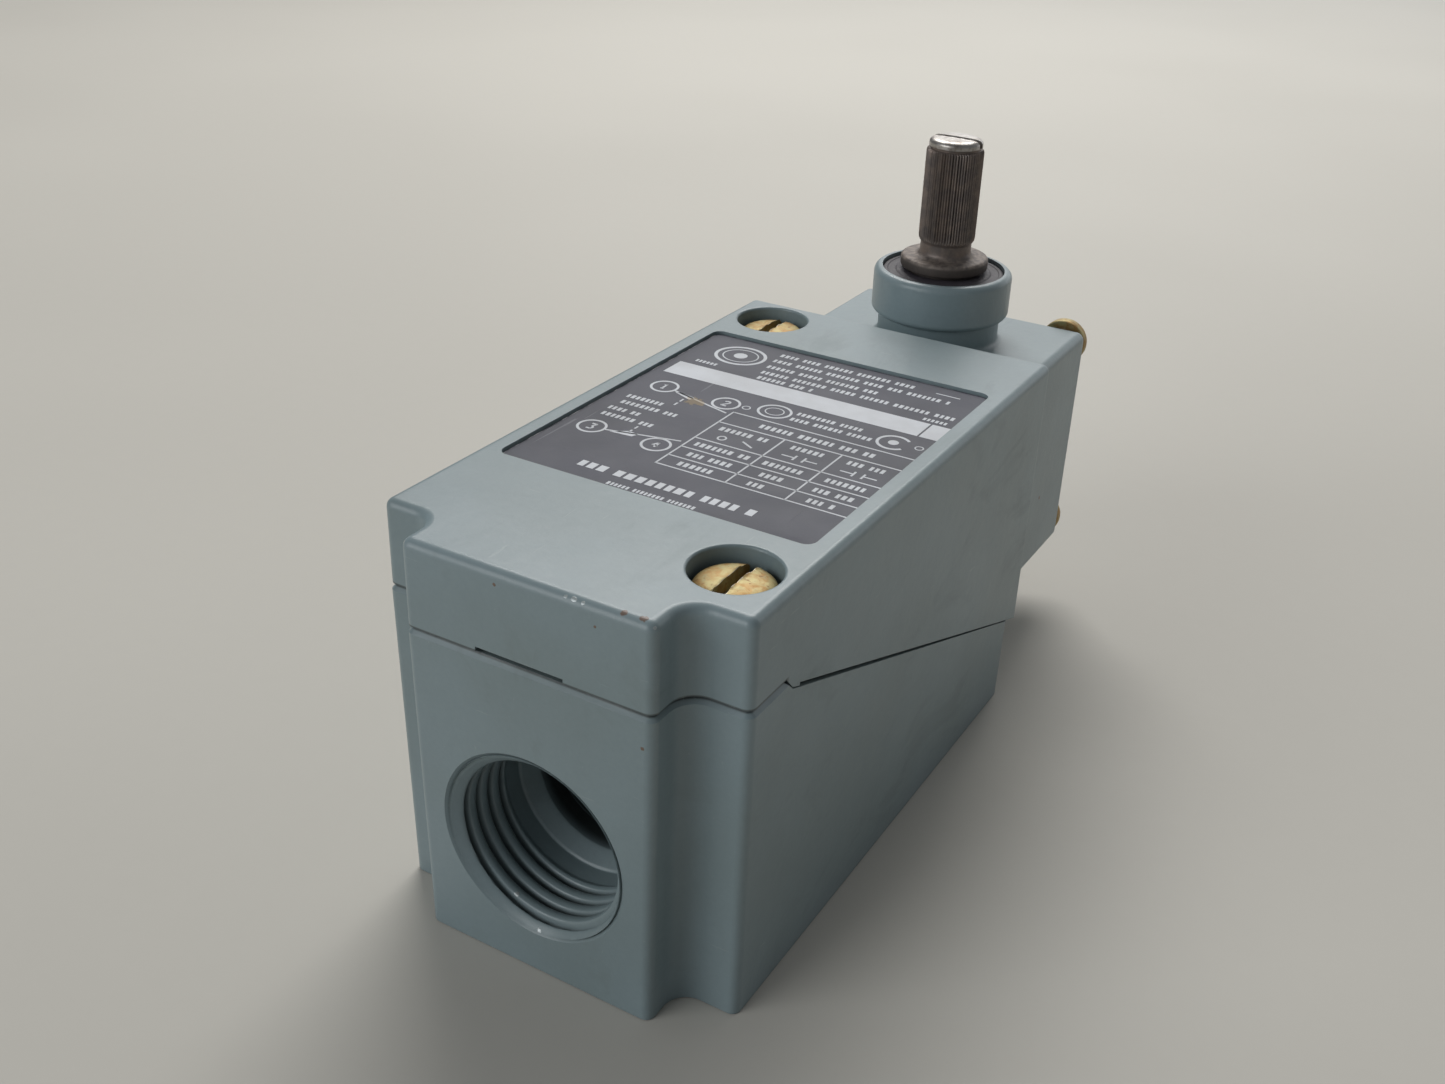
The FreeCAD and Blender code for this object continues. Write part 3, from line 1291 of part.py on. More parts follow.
def terminal_screws():
    return group(*[
        slotted_screw("z", x, dims.terminal_screw_y, head_radius=2.7, seat=14.2, crown=16.2,
                      rim_round=0.6, shank_radius=1.5, tip=7.6, slot_half=0.4, slot_depth=1.0)
        for side, kind, x in TERMINALS])


def terminal_block_screws():
    return group(*[
        slotted_screw("z", x, y, head_radius=2.5, seat=12.62, crown=14.4, rim_round=0.6,
                      shank_radius=1.2, tip=1.6, slot_half=0.35, slot_depth=0.9)
        for x, y in base_screw_places])


def ground_screw():
    return slotted_screw("z", 0, dims.ground_screw_y, head_radius=2.9, seat=4.6, crown=6.8,
                         rim_round=0.7, shank_radius=1.5, tip=1.4,
                         slot_half=0.4, slot_depth=0.8)


# ================================================================ BUILD, CHECK AND WRITE
pieces = {
    "base_housing": base_housing(),
    "switch_body_housing": switch_body_housing(),
    "body_gasket": body_gasket(),
    "nameplate": nameplate(),
    "captive_screw_near": captive_screw("NearScrew", near_captive, dims.near_ring_z,
                                        dims.near_tip_z),
    "captive_screw_far": captive_screw("FarScrew", far_captive, dims.far_ring_z,
                                       dims.far_tip_z),
    "captive_ring_near": captive_ring(near_captive, dims.near_ring_z),
    "captive_ring_far": captive_ring(far_captive, dims.far_ring_z),
    "head_housing": head_housing(),
    "head_gasket": head_gasket(),
    "head_screws": head_screws(),
    "shaft_bushing": shaft_bushing(),
    "lower_bushing": lower_bushing(),
    "shaft_seal": shaft_seal(),
    "operating_shaft": operating_shaft(),
    "drive_pin": drive_pin(),
    "shaft_cam": shaft_cam(),
    "cam_retaining_ring": cam_retaining_ring(),
    "follower_plunger": follower_plunger(),
    "plunger_bushing": plunger_bushing(),
    "plunger_seal": plunger_seal(),
    "plunger_return_spring": plunger_return_spring(),
    "carrier_return_spring": carrier_return_spring(),
    "shaft_return_spring": shaft_return_spring(),
    "fixed_contacts_nc": fixed_contacts("nc"),
    "fixed_contacts_no": fixed_contacts("no"),
    "contact_block": contact_block(),
    "contact_block_cover": contact_block_cover(),
    "contact_block_screws": contact_block_screws(),
    "contact_carrier": contact_carrier(),
    "bridge_nc": bridge(dims.nc_bridge_y, 1),
    "bridge_no": bridge(dims.no_bridge_y, -1),
    "contact_springs": contact_springs(),
    "receptacle_contacts": receptacle_contacts(),
    "terminal_block": terminal_block(),
    "terminal_clamps": terminal_clamps(),
    "terminal_screws": terminal_screws(),
    "terminal_block_screws": terminal_block_screws(),
    "ground_screw": ground_screw(),
}
for label, piece in pieces.items():
    piece.Label = label

doc.recompute()
failed_objects = [obj.Name + " " + str(obj.State) for obj in doc.Objects
                  if "Invalid" in obj.State or "Error" in obj.State]
if failed_objects:
    raise RuntimeError("failed objects: " + "; ".join(failed_objects))
for label, piece in pieces.items():
    shape = piece.Shape
    if shape.isNull() or not shape.isValid() or not shape.Solids or shape.Volume <= 0:
        raise RuntimeError("bad shape: " + label)

os.makedirs("parts", exist_ok=True)
# remove step files of pieces that no longer exist
for old in os.listdir("parts"):
    if old.endswith(".step") and old[:-5] not in pieces:
        os.remove(os.path.join("parts", old))
for label, piece in pieces.items():
    piece.Shape.exportStep("parts/%s.step" % label)
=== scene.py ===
"""A rotary limit switch standing on a pale floor.

Z is up and the floor is at z = 0. The tapped conduit entry opens at the -Y end, the operating
shaft stands along +Z near the +Y end, and the nameplate faces +Z. Shapes and shader patterns
are laid out in millimetres and scaled by MM into metres.
"""

import math
import random

import bmesh
import bpy
from mathutils import Matrix, Vector

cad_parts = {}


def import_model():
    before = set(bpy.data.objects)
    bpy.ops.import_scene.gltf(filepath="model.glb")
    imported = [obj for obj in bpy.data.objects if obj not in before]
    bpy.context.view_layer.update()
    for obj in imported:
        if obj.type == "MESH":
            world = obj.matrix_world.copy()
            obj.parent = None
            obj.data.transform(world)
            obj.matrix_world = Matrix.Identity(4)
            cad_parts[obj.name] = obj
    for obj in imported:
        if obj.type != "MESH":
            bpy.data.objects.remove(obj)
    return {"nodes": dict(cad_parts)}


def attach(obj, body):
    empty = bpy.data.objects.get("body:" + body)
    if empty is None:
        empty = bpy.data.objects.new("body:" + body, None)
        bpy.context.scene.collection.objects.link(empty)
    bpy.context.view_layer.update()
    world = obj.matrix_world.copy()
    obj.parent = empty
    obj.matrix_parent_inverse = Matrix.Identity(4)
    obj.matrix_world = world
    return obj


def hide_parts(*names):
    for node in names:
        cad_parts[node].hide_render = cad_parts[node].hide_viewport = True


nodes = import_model()["nodes"]
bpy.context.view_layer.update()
random.seed(7)

MM = 0.001
TURN = 2 * math.pi
SHAFT_Y = 49.75                # the operating shaft's axis
PLUNGER_Z = 25.3               # the plunger's axis, also the centre of the head screws
SCREW_PITCH = 25.4 / 32.0      # thread of the captive and head screws


# ---------------------------------------------------------------- shader helpers
def lin(r, g, b):
    """An sRGB colour of 0-255 as linear RGBA."""
    def one(c):
        c = c / 255.0
        return c / 12.92 if c <= 0.04045 else ((c + 0.055) / 1.055) ** 2.4
    return (one(r), one(g), one(b), 1.0)


class Surface:
    """A material with patterns in millimetres; colour layers and bumps build up in call order.

    fade is (value where a mask is 0, value where it is 1); span is the (low, high) result.
    """

    def __init__(self, name):
        self.material = bpy.data.materials.new(name)
        self.material.use_nodes = True
        self.tree = self.material.node_tree
        self.tree.nodes.clear()
        output = self.node("OutputMaterial")
        self.bsdf = self.node("BsdfPrincipled")
        self.link(self.bsdf.outputs["BSDF"], output.inputs["Surface"])
        place = self.node("TexCoord").outputs["Object"]
        scaled = self.node("VectorMath", {0: place, "Scale": 1.0 / MM}, operation="SCALE")
        self.mm = scaled.outputs["Vector"]
        self.colour = None
        self.normal = None

    def link(self, source, socket):
        """Join an output to the socket, or set a plain value on it."""
        if isinstance(source, bpy.types.NodeSocket):
            self.tree.links.new(source, socket)
        else:
            socket.default_value = source

    def node(self, kind, inputs=None, **settings):
        made = self.tree.nodes.new("ShaderNode" + kind)
        for key, value in settings.items():
            setattr(made, key, value)
        for socket, source in (inputs or {}).items():
            self.link(source, made.inputs[socket])
        return made

    # --- arithmetic
    def calc(self, operation, *values, clamp=False):
        inputs = dict(enumerate(values))
        return self.node("Math", inputs, operation=operation, use_clamp=clamp).outputs[0]

    def vector(self, operation, *values):
        made = self.node("VectorMath", dict(enumerate(values)), operation=operation)
        scalar = operation in ("LENGTH", "DISTANCE", "DOT_PRODUCT")
        return made.outputs["Value" if scalar else "Vector"]

    def times(self, first, *others):
        for other in others:
            first = self.calc("MULTIPLY", first, other)
        return first

    def inverse(self, mask):
        return self.calc("SUBTRACT", 1.0, mask)

    def most(self, a, b):
        return self.calc("MAXIMUM", a, b)

    def size(self, value):
        return self.calc("ABSOLUTE", value)

    def raised(self, value, mask, by, clamp=False):
        """value plus a share of mask."""
        return self.calc("ADD", value, self.times(mask, by), clamp=clamp)

    def spanned(self, value, span):
        """A value of 0..1 spread over the span."""
        low, high = span
        return self.calc("MULTIPLY_ADD", value, high - low, low)

    def mix(self, mask, a, b):
        return self.node("Mix", {0: mask, 6: a, 7: b}, data_type="RGBA").outputs[2]

    def mix_value(self, mask, a, b):
        return self.node("Mix", {0: mask, 2: a, 3: b}, data_type="FLOAT").outputs[0]

    # --- masks and patterns
    def axes(self):
        """x, y and z in millimetres."""
        return tuple(self.node("SeparateXYZ", {0: self.mm}).outputs)

    def facing_up(self):
        normal = self.node("NewGeometry").outputs["Normal"]
        return self.node("SeparateXYZ", {0: normal}).outputs[2]

    def rise(self, value, fade):
        """A smooth mask from 0 to 1."""
        inputs = {"Value": value, "From Min": fade[0], "From Max": fade[1]}
        return self.node("MapRange", inputs, interpolation_type="SMOOTHSTEP").outputs["Result"]

    def fall(self, value, fade):
        """A smooth mask from 1 to 0."""
        return self.inverse(self.rise(value, fade))

    def band(self, value, up, down):
        """1 between the fades up and down."""
        return self.times(self.rise(value, up), self.fall(value, down))

    def noise(self, scale, detail=3.0, rough=0.55, distortion=0.0, stretch=None):
        place = self.mm
        if stretch:
            place = self.node("Mapping", {"Scale": stretch, "Vector": place}).outputs["Vector"]
        return self.node("TexNoise", {"Scale": scale, "Detail": detail, "Roughness": rough,
                                      "Distortion": distortion, "Vector": place}).outputs["Fac"]

    def patches(self, fade, **noise):
        """A mask cut from noise."""
        return self.rise(self.noise(**noise), fade)

    def spread(self, span, **noise):
        """Noise spread over the span."""
        return self.spanned(self.noise(**noise), span)

    def edges(self, radius, fade):
        """A mask of sharp edges, found within a radius in millimetres."""
        bevel = self.node("Bevel", {"Radius": radius * MM}, samples=4).outputs["Normal"]
        flat = self.node("NewGeometry").outputs["Normal"]
        bend = self.calc("SUBTRACT", 1.0, self.vector("DOT_PRODUCT", bevel, flat), clamp=True)
        return self.rise(bend, fade)

    def hollows(self, reach, fade, samples=4):
        """A mask of corners and gaps, found within a reach in millimetres."""
        open_sky = self.node("AmbientOcclusion", {"Distance": reach * MM}, samples=samples)
        return self.rise(self.calc("SUBTRACT", 1.0, open_sky.outputs["AO"], clamp=True), fade)

    def spots(self, places, ragged, scale):
        """A mask of small ragged marks; places holds (x, y, z, radius)."""
        centred = self.calc("SUBTRACT", self.noise(scale, detail=4.0, rough=0.6), 0.5)
        wobble = self.times(centred, 2.0 * ragged)
        total = None
        for x, y, z, radius in places:
            away = self.vector("DISTANCE", self.mm, (x, y, z))
            away = self.calc("ADD", self.calc("DIVIDE", away, radius), wobble)
            mark = self.fall(away, fade=(0.75, 1.0))
            total = mark if total is None else self.most(total, mark)
        return total

    # --- layers
    def mottle(self, one, other, **patches):
        """The ground colour: cloudy patches of one colour and another."""
        self.colour = self.mix(self.patches(**patches), one, other)

    def cover(self, mask, colour, amount=None):
        if amount is not None:
            mask = self.times(mask, amount)
        self.colour = self.mix(mask, self.colour, colour)

    def shade(self, factor):
        """Multiply the colour by a grey factor."""
        grey = self.node("CombineColor", {0: factor, 1: factor, 2: factor}).outputs[0]
        self.colour = self.node("Mix", {0: 1.0, 6: self.colour, 7: grey},
                                data_type="RGBA", blend_type="MULTIPLY").outputs[2]

    def bump(self, height, depth, strength=1.0):
        """Relief of a depth in millimetres."""
        inputs = {"Strength": strength, "Distance": depth * MM, "Height": height}
        if self.normal is not None:
            inputs["Normal"] = self.normal
        self.normal = self.node("Bump", inputs).outputs["Normal"]

    def done(self, rough, metallic=0.0, **more):
        inputs = {"Base Color": self.colour, "Roughness": rough, "Metallic": metallic,
                  "Normal": self.normal}
        inputs.update({key.replace("_", " "): value for key, value in more.items()})
        for socket, source in inputs.items():
            self.link(source, self.bsdf.inputs[socket])
        return self.material


# ---------------------------------------------------------------- materials
def entry_painted_shade(t, y):
    """Painted shade in the thread roots and down the wire passage."""
    # painted shade in the thread roots, made uneven with noise
    root = t.times(t.hollows(reach=2.6, fade=(0.46, 0.86), samples=8),
                   t.spread(span=(0.75, 1.0), scale=0.9))
    t.cover(root, lin(38, 40, 38), amount=0.72)
    # the wire passage painted nearly black as shade
    t.cover(t.rise(y, fade=(-30.6, -28.6)), lin(26, 27, 26), amount=0.9)


def inside_painted_shade(t, x, y, z):
    """Painted shade inside the casting beside the wire passage."""
    inside = t.times(t.band(y, up=(-27.6, -27.0), down=(-10.0, 4.0)),
                     t.fall(t.size(x), fade=(18.3, 18.7)),
                     t.band(z, up=(1.2, 1.4), down=(32.5, 33.5)))
    # the casting's inside darkened as painted shade
    t.cover(inside, lin(34, 36, 34), amount=0.85)


def joint_painted_shade(t, y, z):
    """Painted shade in the thin joint between base and switch body at the conduit end."""
    joint = t.times(t.band(z, up=(36.16, 36.30), down=(36.72, 36.90)),
                    t.fall(y, fade=(-30.4, -29.8)),
                    t.fall(t.size(t.facing_up()), fade=(0.80, 0.97)))
    uneven = t.spread(span=(0.62, 1.0), scale=0.5, detail=4.0, rough=0.6)
    # painted shade along the joint, made uneven with noise
    t.cover(t.calc("MULTIPLY", joint, uneven, clamp=True), lin(34, 37, 35), amount=0.92)


def enamel(name, chips, specks, entry=False):
    """Semi-gloss blue-grey enamel over die-cast zinc; chips and specks hold (x, y, z, radius)."""
    t = Surface(name)
    x, y, z = t.axes()
    t.mottle(lin(127, 143, 148), lin(121, 136, 139), fade=(0.3, 0.7), scale=0.045, detail=4.0)
    t.shade(t.spread(span=(0.95, 1.05), scale=1.9, rough=0.6))
    # handling marks, dull and a little darker
    smear = t.patches(fade=(0.56, 0.72), scale=0.16, detail=5.0, rough=0.62, distortion=0.6,
                      stretch=(1.0, 0.35, 0.7))
    t.cover(smear, lin(104, 112, 104), amount=0.16)
    # dirt and painted shade in corners and gaps
    dirt_and_shade = t.times(t.hollows(reach=1.6, fade=(0.42, 0.95), samples=6),
                   t.spread(span=(0.4, 0.9), scale=0.7))
    t.cover(dirt_and_shade, lin(58, 56, 46), amount=0.75)
    if entry:
        entry_painted_shade(t, y)
    else:
        inside_painted_shade(t, x, y, z)
    joint_painted_shade(t, y, z)
    # painted highlight along the edges, with paint rubbed thin
    rub = t.times(t.edges(radius=0.45, fade=(0.05, 0.30)),
                  t.patches(fade=(0.50, 0.66), scale=0.5, detail=5.0, rough=0.7))
    t.cover(rub, lin(168, 182, 182), amount=0.35)
    scratch = t.most(t.patches(fade=(0.74, 0.77), scale=0.9, detail=2.0, rough=0.5,
                               distortion=0.2, stretch=(0.16, 2.8, 2.8)),
                     t.patches(fade=(0.745, 0.775), scale=0.8, detail=2.0, rough=0.5,
                               distortion=0.3, stretch=(2.6, 0.14, 1.1)))
    t.cover(scratch, lin(168, 178, 180), amount=0.16)
    # bright chips down to metal, and a few rusty specks
    bare = t.spots(chips, ragged=0.9, scale=1.4)
    rust = t.spots(specks, ragged=0.7, scale=2.2)
    t.cover(bare, lin(178, 184, 184), amount=0.8)
    t.cover(rust, lin(104, 72, 48), amount=0.8)
    rough = t.spread(span=(0.34, 0.50), scale=0.12, detail=4.0, rough=0.6)
    rough = t.raised(rough, smear, by=0.10)
    rough = t.raised(rough, dirt_and_shade, by=0.25, clamp=True)
    bare_rough = 0.36
    rough = t.mix_value(bare, rough, bare_rough)
    # orange peel, fine grain, scratches and the chips' edges
    t.bump(t.noise(scale=0.75, detail=2.0, rough=0.5), depth=0.035)
    t.bump(t.noise(scale=3.4, rough=0.6), depth=0.010)
    t.bump(scratch, depth=0.005)
    t.bump(t.most(bare, rust), depth=0.03, strength=0.7)
    bare_metallic = 0.45
    return t.done(rough, metallic=t.times(bare, bare_metallic),
                  Specular_IOR_Level=0.5, Coat_Weight=0.22, Coat_Roughness=0.24)


def steel(name, dark, light, rough, grain=(1.0, 1.0, 1.0), rust=0.0, metallic=1.0):
    """Machined or plated metal: a directional grain and tarnish clouds; rough is a span."""
    t = Surface(name)
    streak = t.noise(scale=2.4, detail=4.0, rough=0.65, stretch=grain)
    t.mottle(dark, light, fade=(0.32, 0.68), scale=0.35, detail=4.0, rough=0.6)
    t.shade(t.spanned(streak, span=(0.82, 1.12)))
    # dirt and painted shade in the hollows
    dirt_and_shade = t.hollows(reach=0.9, fade=(0.35, 0.9))
    t.cover(dirt_and_shade, lin(46, 40, 34), amount=0.6)
    if rust:
        spot = t.patches(fade=(0.66, 0.76), scale=1.1, detail=5.0, rough=0.7)
        t.cover(spot, lin(112, 66, 36), amount=rust)
        rust_metallic = 0.1
        metallic = t.mix_value(t.times(spot, rust), metallic, rust_metallic)
    rough = t.raised(t.spread(span=rough, scale=0.9, detail=4.0, rough=0.6), dirt_and_shade, by=0.2,
                     clamp=True)
    t.bump(streak, depth=0.01)
    t.bump(t.noise(scale=7.0, rough=0.6), depth=0.004)
    return t.done(rough, metallic)


def yellow_zinc(name):
    """Yellow passivated zinc: straw, orange and green-grey patches, bright on rubbed edges."""
    t = Surface(name)
    t.mottle(lin(172, 160, 114), lin(160, 126, 74), fade=(0.36, 0.64), scale=0.62, detail=4.0,
             rough=0.6, distortion=0.8)
    green = t.patches(fade=(0.55, 0.72), scale=0.95, detail=4.0, rough=0.65,
                      stretch=(1.3, 0.8, 1.1))
    t.cover(green, lin(150, 150, 118), amount=0.6)
    brown = t.patches(fade=(0.56, 0.70), scale=1.7, detail=4.0, rough=0.7)
    t.cover(brown, lin(116, 76, 44), amount=0.75)
    rub = t.times(t.edges(radius=0.16, fade=(0.04, 0.25)), t.patches(fade=(0.36, 0.6), scale=1.6))
    t.cover(rub, lin(226, 222, 212))
    # dirt and painted shade in the hollows
    dirt_and_shade = t.hollows(reach=0.8, fade=(0.4, 0.95))
    t.cover(dirt_and_shade, lin(84, 70, 48), amount=0.45)
    rough = t.raised(t.spread(span=(0.42, 0.62), scale=1.4, detail=4.0, rough=0.6), dirt_and_shade, by=0.2,
                     clamp=True)
    rubbed_rough = 0.30
    rough = t.mix_value(rub, rough, rubbed_rough)
    t.bump(t.noise(scale=2.6, detail=4.0, rough=0.65), depth=0.03)
    t.bump(t.noise(scale=9.0, detail=2.0), depth=0.006)
    return t.done(rough, metallic=0.55)


def moulded(name, one, other, rough, speck=None, bump=0.02, **more):
    """Moulded plastic: faint flow marks, a matt skin and perhaps pale filler specks."""
    t = Surface(name)
    t.mottle(one, other, fade=(0.35, 0.65), scale=0.22, detail=4.0, rough=0.6, distortion=1.2)
    t.shade(t.spread(span=(0.93, 1.07), scale=5.0, detail=2.0))
    if speck:
        t.cover(t.patches(fade=(0.70, 0.76), scale=4.2, detail=2.0), speck, amount=0.6)
    t.cover(t.edges(radius=0.2, fade=(0.06, 0.3)), lin(150, 146, 138), amount=0.18)
    dust = t.times(t.rise(t.facing_up(), fade=(0.6, 1.0)),
                   t.spread(span=(0.0, 0.16), scale=0.5, detail=4.0))
    t.cover(dust, lin(150, 146, 136))
    rough = t.spread(span=rough, scale=0.8, detail=4.0, rough=0.6)
    t.bump(t.noise(scale=1.8), depth=bump)
    t.bump(t.noise(scale=6.5, detail=2.0), depth=bump * 0.35)
    return t.done(rough, **more)


def rubber(name, ground, rings=None):
    """Black nitrile rubber with a faint bloom; rings is the axis point of fine mould rings."""
    t = Surface(name)
    t.mottle(ground, lin(66, 62, 68), fade=(0.35, 0.7), scale=0.5, detail=5.0, rough=0.65)
    t.shade(t.spread(span=(0.88, 1.12), scale=6.0, detail=2.0))
    dust = t.times(t.rise(t.facing_up(), fade=(0.4, 1.0)),
                   t.patches(fade=(0.52, 0.8), scale=1.3, detail=5.0, rough=0.7))
    t.cover(dust, lin(150, 144, 136), amount=0.22)
    rough = t.spread(span=(0.46, 0.68), scale=1.2, detail=4.0)
    t.bump(t.noise(scale=3.2), depth=0.015)
    if rings:
        flat, waves = (1.0, 1.0, 0.0), 21.0     # drops z; radians of ripple per millimetre
        offset = t.vector("MULTIPLY", t.vector("SUBTRACT", t.mm, rings), flat)
        ripple = t.calc("SINE", t.times(t.vector("LENGTH", offset), waves))
        t.bump(ripple, depth=0.002)
    return t.done(rough, Specular_IOR_Level=0.45)


def bronze(name):
    """Sintered bronze: open pores and a dark oil film."""
    t = Surface(name)
    t.mottle(lin(150, 110, 70), lin(118, 84, 54), fade=(0.35, 0.65), scale=0.5, detail=4.0)
    cells = t.node("TexVoronoi", {"Scale": 3.2, "Vector": t.mm}, feature="F1")
    solid = t.rise(cells.outputs["Distance"], fade=(0.10, 0.24))
    t.colour = t.mix(solid, lin(60, 42, 28), t.colour)
    t.bump(solid, depth=0.02)
    return t.done(t.spread(span=(0.36, 0.55), scale=1.0), metallic=0.9)


def brass(name):
    """Stamped brass with rolling marks, brown tarnish and bright edges."""
    t = Surface(name)
    t.mottle(lin(214, 178, 104), lin(190, 148, 82), fade=(0.34, 0.66), scale=0.4, detail=4.0,
             rough=0.6)
    roll = t.noise(scale=2.2, detail=4.0, rough=0.7, stretch=(0.25, 1.0, 2.2))
    t.shade(t.spanned(roll, span=(0.86, 1.10)))
    tarnish = t.patches(fade=(0.58, 0.78), scale=0.8, detail=5.0, rough=0.7)
    t.cover(tarnish, lin(112, 80, 50), amount=0.55)
    t.cover(t.edges(radius=0.15, fade=(0.05, 0.3)), lin(236, 214, 160), amount=0.5)
    t.bump(roll, depth=0.012)
    return t.done(t.raised(t.spanned(roll, span=(0.24, 0.40)), tarnish, by=0.2), metallic=1.0)


def shaft_steel(name):
    """Oil-blackened shaft: brown-black knurl, bronzed flange, bright rubbed tip."""
    t = Surface(name)
    _, y, z = t.axes()
    t.mottle(lin(106, 98, 94), lin(128, 115, 107), fade=(0.34, 0.66), scale=0.7, detail=5.0,
             rough=0.65)
    t.shade(t.spread(span=(0.86, 1.14), scale=3.6, rough=0.7))
    # painted shade, with oil and dust, between the knurl's teeth
    t.cover(t.hollows(reach=0.30, fade=(0.25, 0.75)), lin(44, 39, 37), amount=0.6)
    crest = t.times(t.edges(radius=0.06, fade=(0.02, 0.2)),
                    t.patches(fade=(0.45, 0.7), scale=0.9, detail=5.0, rough=0.7))
    t.cover(crest, lin(150, 134, 118), amount=0.5)
    # brown bloom on the flange, darker on its side, with a painted highlight at its rim
    flange = t.fall(z, fade=(52.5, 52.9))
    t.cover(flange, lin(80, 75, 71), amount=0.6)
    t.cover(t.fall(z, fade=(51.7, 52.05)), lin(54, 48, 45), amount=0.6)
    # painted highlight along the flange's rim
    rim = t.times(flange, t.rise(z, fade=(51.85, 52.1)),
                  t.patches(fade=(0.35, 0.65), scale=1.3, detail=4.0))
    t.cover(rim, lin(150, 138, 128), amount=0.5)
    # bright tip with a wavering lower edge, left dark down in the slot
    middle, waver, slot_dark = 0.5, 0.25, 0.8
    wave = t.times(t.calc("SUBTRACT", t.noise(scale=1.8, detail=4.0), middle), waver)
    tip = t.rise(t.calc("ADD", z, wave), fade=(66.66, 66.80))
    bright = t.mix(t.patches(fade=(0.42, 0.72), scale=1.1, detail=5.0, rough=0.7),
                   lin(176, 172, 167), lin(128, 118, 110))
    slot = t.times(t.fall(t.size(t.calc("SUBTRACT", y, SHAFT_Y)), fade=(0.40, 0.47)),
                   t.fall(z, fade=(67.0, 67.6)))
    tip = t.times(tip, t.inverse(t.times(slot, slot_dark)))
    t.cover(tip, bright)
    rough = t.spread(span=(0.36, 0.56), scale=1.5, detail=4.0, rough=0.6)
    rough = t.raised(rough, flange, by=0.14, clamp=True)
    rough = t.mix_value(tip, rough, t.spread(span=(0.30, 0.44), scale=2.0, detail=4.0))
    t.bump(t.noise(scale=4.5, detail=4.0, rough=0.7), depth=0.012)
    t.bump(t.noise(scale=2.0, rough=0.6, stretch=(3.0, 3.0, 0.4)), depth=0.006)
    knurl_metallic, flange_metallic, tip_metallic = 0.62, 0.35, 0.95
    dull = t.mix_value(flange, knurl_metallic, flange_metallic)
    return t.done(rough, t.mix_value(tip, dull, tip_metallic))


def plate_paint(name):
    """Charcoal printed aluminium plate: satin ink with a fine grain, rub marks and one scuff."""
    t = Surface(name)
    x, y, _ = t.axes()
    t.mottle(lin(64, 66, 79), lin(58, 60, 71), fade=(0.35, 0.65), scale=0.06, detail=4.0,
             rough=0.6)
    grain = t.noise(scale=5.5, detail=2.0, rough=0.6)
    t.shade(t.spanned(grain, span=(0.84, 1.16)))
    rub = t.patches(fade=(0.55, 0.75), scale=0.3, detail=5.0, rough=0.7, distortion=0.8,
                    stretch=(0.7, 1.4, 1.0))
    t.cover(rub, lin(128, 126, 134), amount=0.14)
    scratch = t.patches(fade=(0.72, 0.74), scale=0.7, detail=2.0, rough=0.5, distortion=0.3,
                        stretch=(2.2, 0.07, 1.0))
    t.cover(scratch, lin(150, 150, 156), amount=0.3)
    edge = t.most(t.rise(t.size(x), fade=(18.16, 18.30)), t.rise(t.size(y), fade=(21.92, 22.05)))
    bare = t.times(edge, t.patches(fade=(0.42, 0.6), scale=0.6, detail=4.0, rough=0.7))
    t.cover(bare, lin(196, 196, 200), amount=0.7)
    scuff = t.spots([(-9.2, 1.8, 45.6, 1.15), (-8.3, 1.5, 45.6, 0.6)], ragged=0.9, scale=1.9)
    t.cover(scuff, lin(150, 134, 108), amount=0.75)
    rough = t.raised(t.spread(span=(0.46, 0.60), scale=0.25, detail=4.0), rub, by=0.08)
    scuff_rough, bare_metallic = 0.7, 0.8
    rough = t.mix_value(scuff, rough, scuff_rough)
    t.bump(grain, depth=0.006)
    t.bump(t.most(scuff, scratch), depth=0.02)
    return t.done(rough, t.times(bare, bare_metallic), Specular_IOR_Level=0.34)


def plate_white(name):
    """White screen-printed ink, slightly greyed, thin in places."""
    t = Surface(name)
    t.mottle(lin(202, 206, 212), lin(188, 191, 196), fade=(0.35, 0.65), scale=0.12, detail=4.0)
    thin = t.patches(fade=(0.60, 0.74), scale=3.2, detail=4.0, rough=0.75)
    t.cover(thin, lin(140, 138, 146), amount=0.45)
    scuff = t.spots([(-9.2, 1.8, 45.6, 1.3), (-8.3, 1.5, 45.6, 0.7)], ragged=0.9, scale=1.9)
    t.cover(scuff, lin(168, 152, 126), amount=0.8)
    t.bump(t.noise(scale=4.0), depth=0.008)
    return t.done(t.spread(span=(0.40, 0.56), scale=0.9))


paint_base = enamel(
    "enamel_base",
    chips=[(-14.1, -42.3, 35.6, 0.30), (20.7, -37.0, 36.2, 0.35), (14.2, -42.2, 36.1, 0.25)],
    specks=[(13.0, -42.3, 33.0, 0.22), (-20.9, 20.0, 12.0, 0.4)])
paint_body = enamel(
    "enamel_switch_body",
    chips=[(5.6, -42.0, 45.75, 0.30), (4.7, -42.0, 45.8, 0.24), (6.6, -42.0, 45.7, 0.22),
           (-13.9, -41.9, 45.6, 0.25), (13.9, -41.8, 45.6, 0.24), (20.6, -36.9, 45.6, 0.24),
           (-20.6, 34.0, 45.7, 0.3)],
    specks=[(10.6, -41.6, 45.9, 0.36), (12.6, -41.5, 45.9, 0.42), (-3.0, -42.2, 44.6, 0.22),
            (8.0, -42.2, 43.9, 0.2)])
paint_head = enamel(
    "enamel_head",
    chips=[(16.6, 37.0, 40.9, 0.4), (-16.5, 62.3, 40.8, 0.4), (3.0, 62.8, 40.9, 0.3)],
    specks=[(-8.0, 62.9, 26.0, 0.35), (16.8, 52.0, 20.0, 0.3)])
zinc = yellow_zinc("yellow_zinc_plating")
bright_steel = steel("bright_turned_steel", dark=lin(150, 150, 150), light=lin(178, 177, 174),
                     rough=(0.22, 0.38))
pin_steel = steel("ground_pin_steel", dark=lin(160, 160, 162), light=lin(186, 186, 188),
                  rough=(0.16, 0.28), grain=(0.2, 2.0, 2.0))
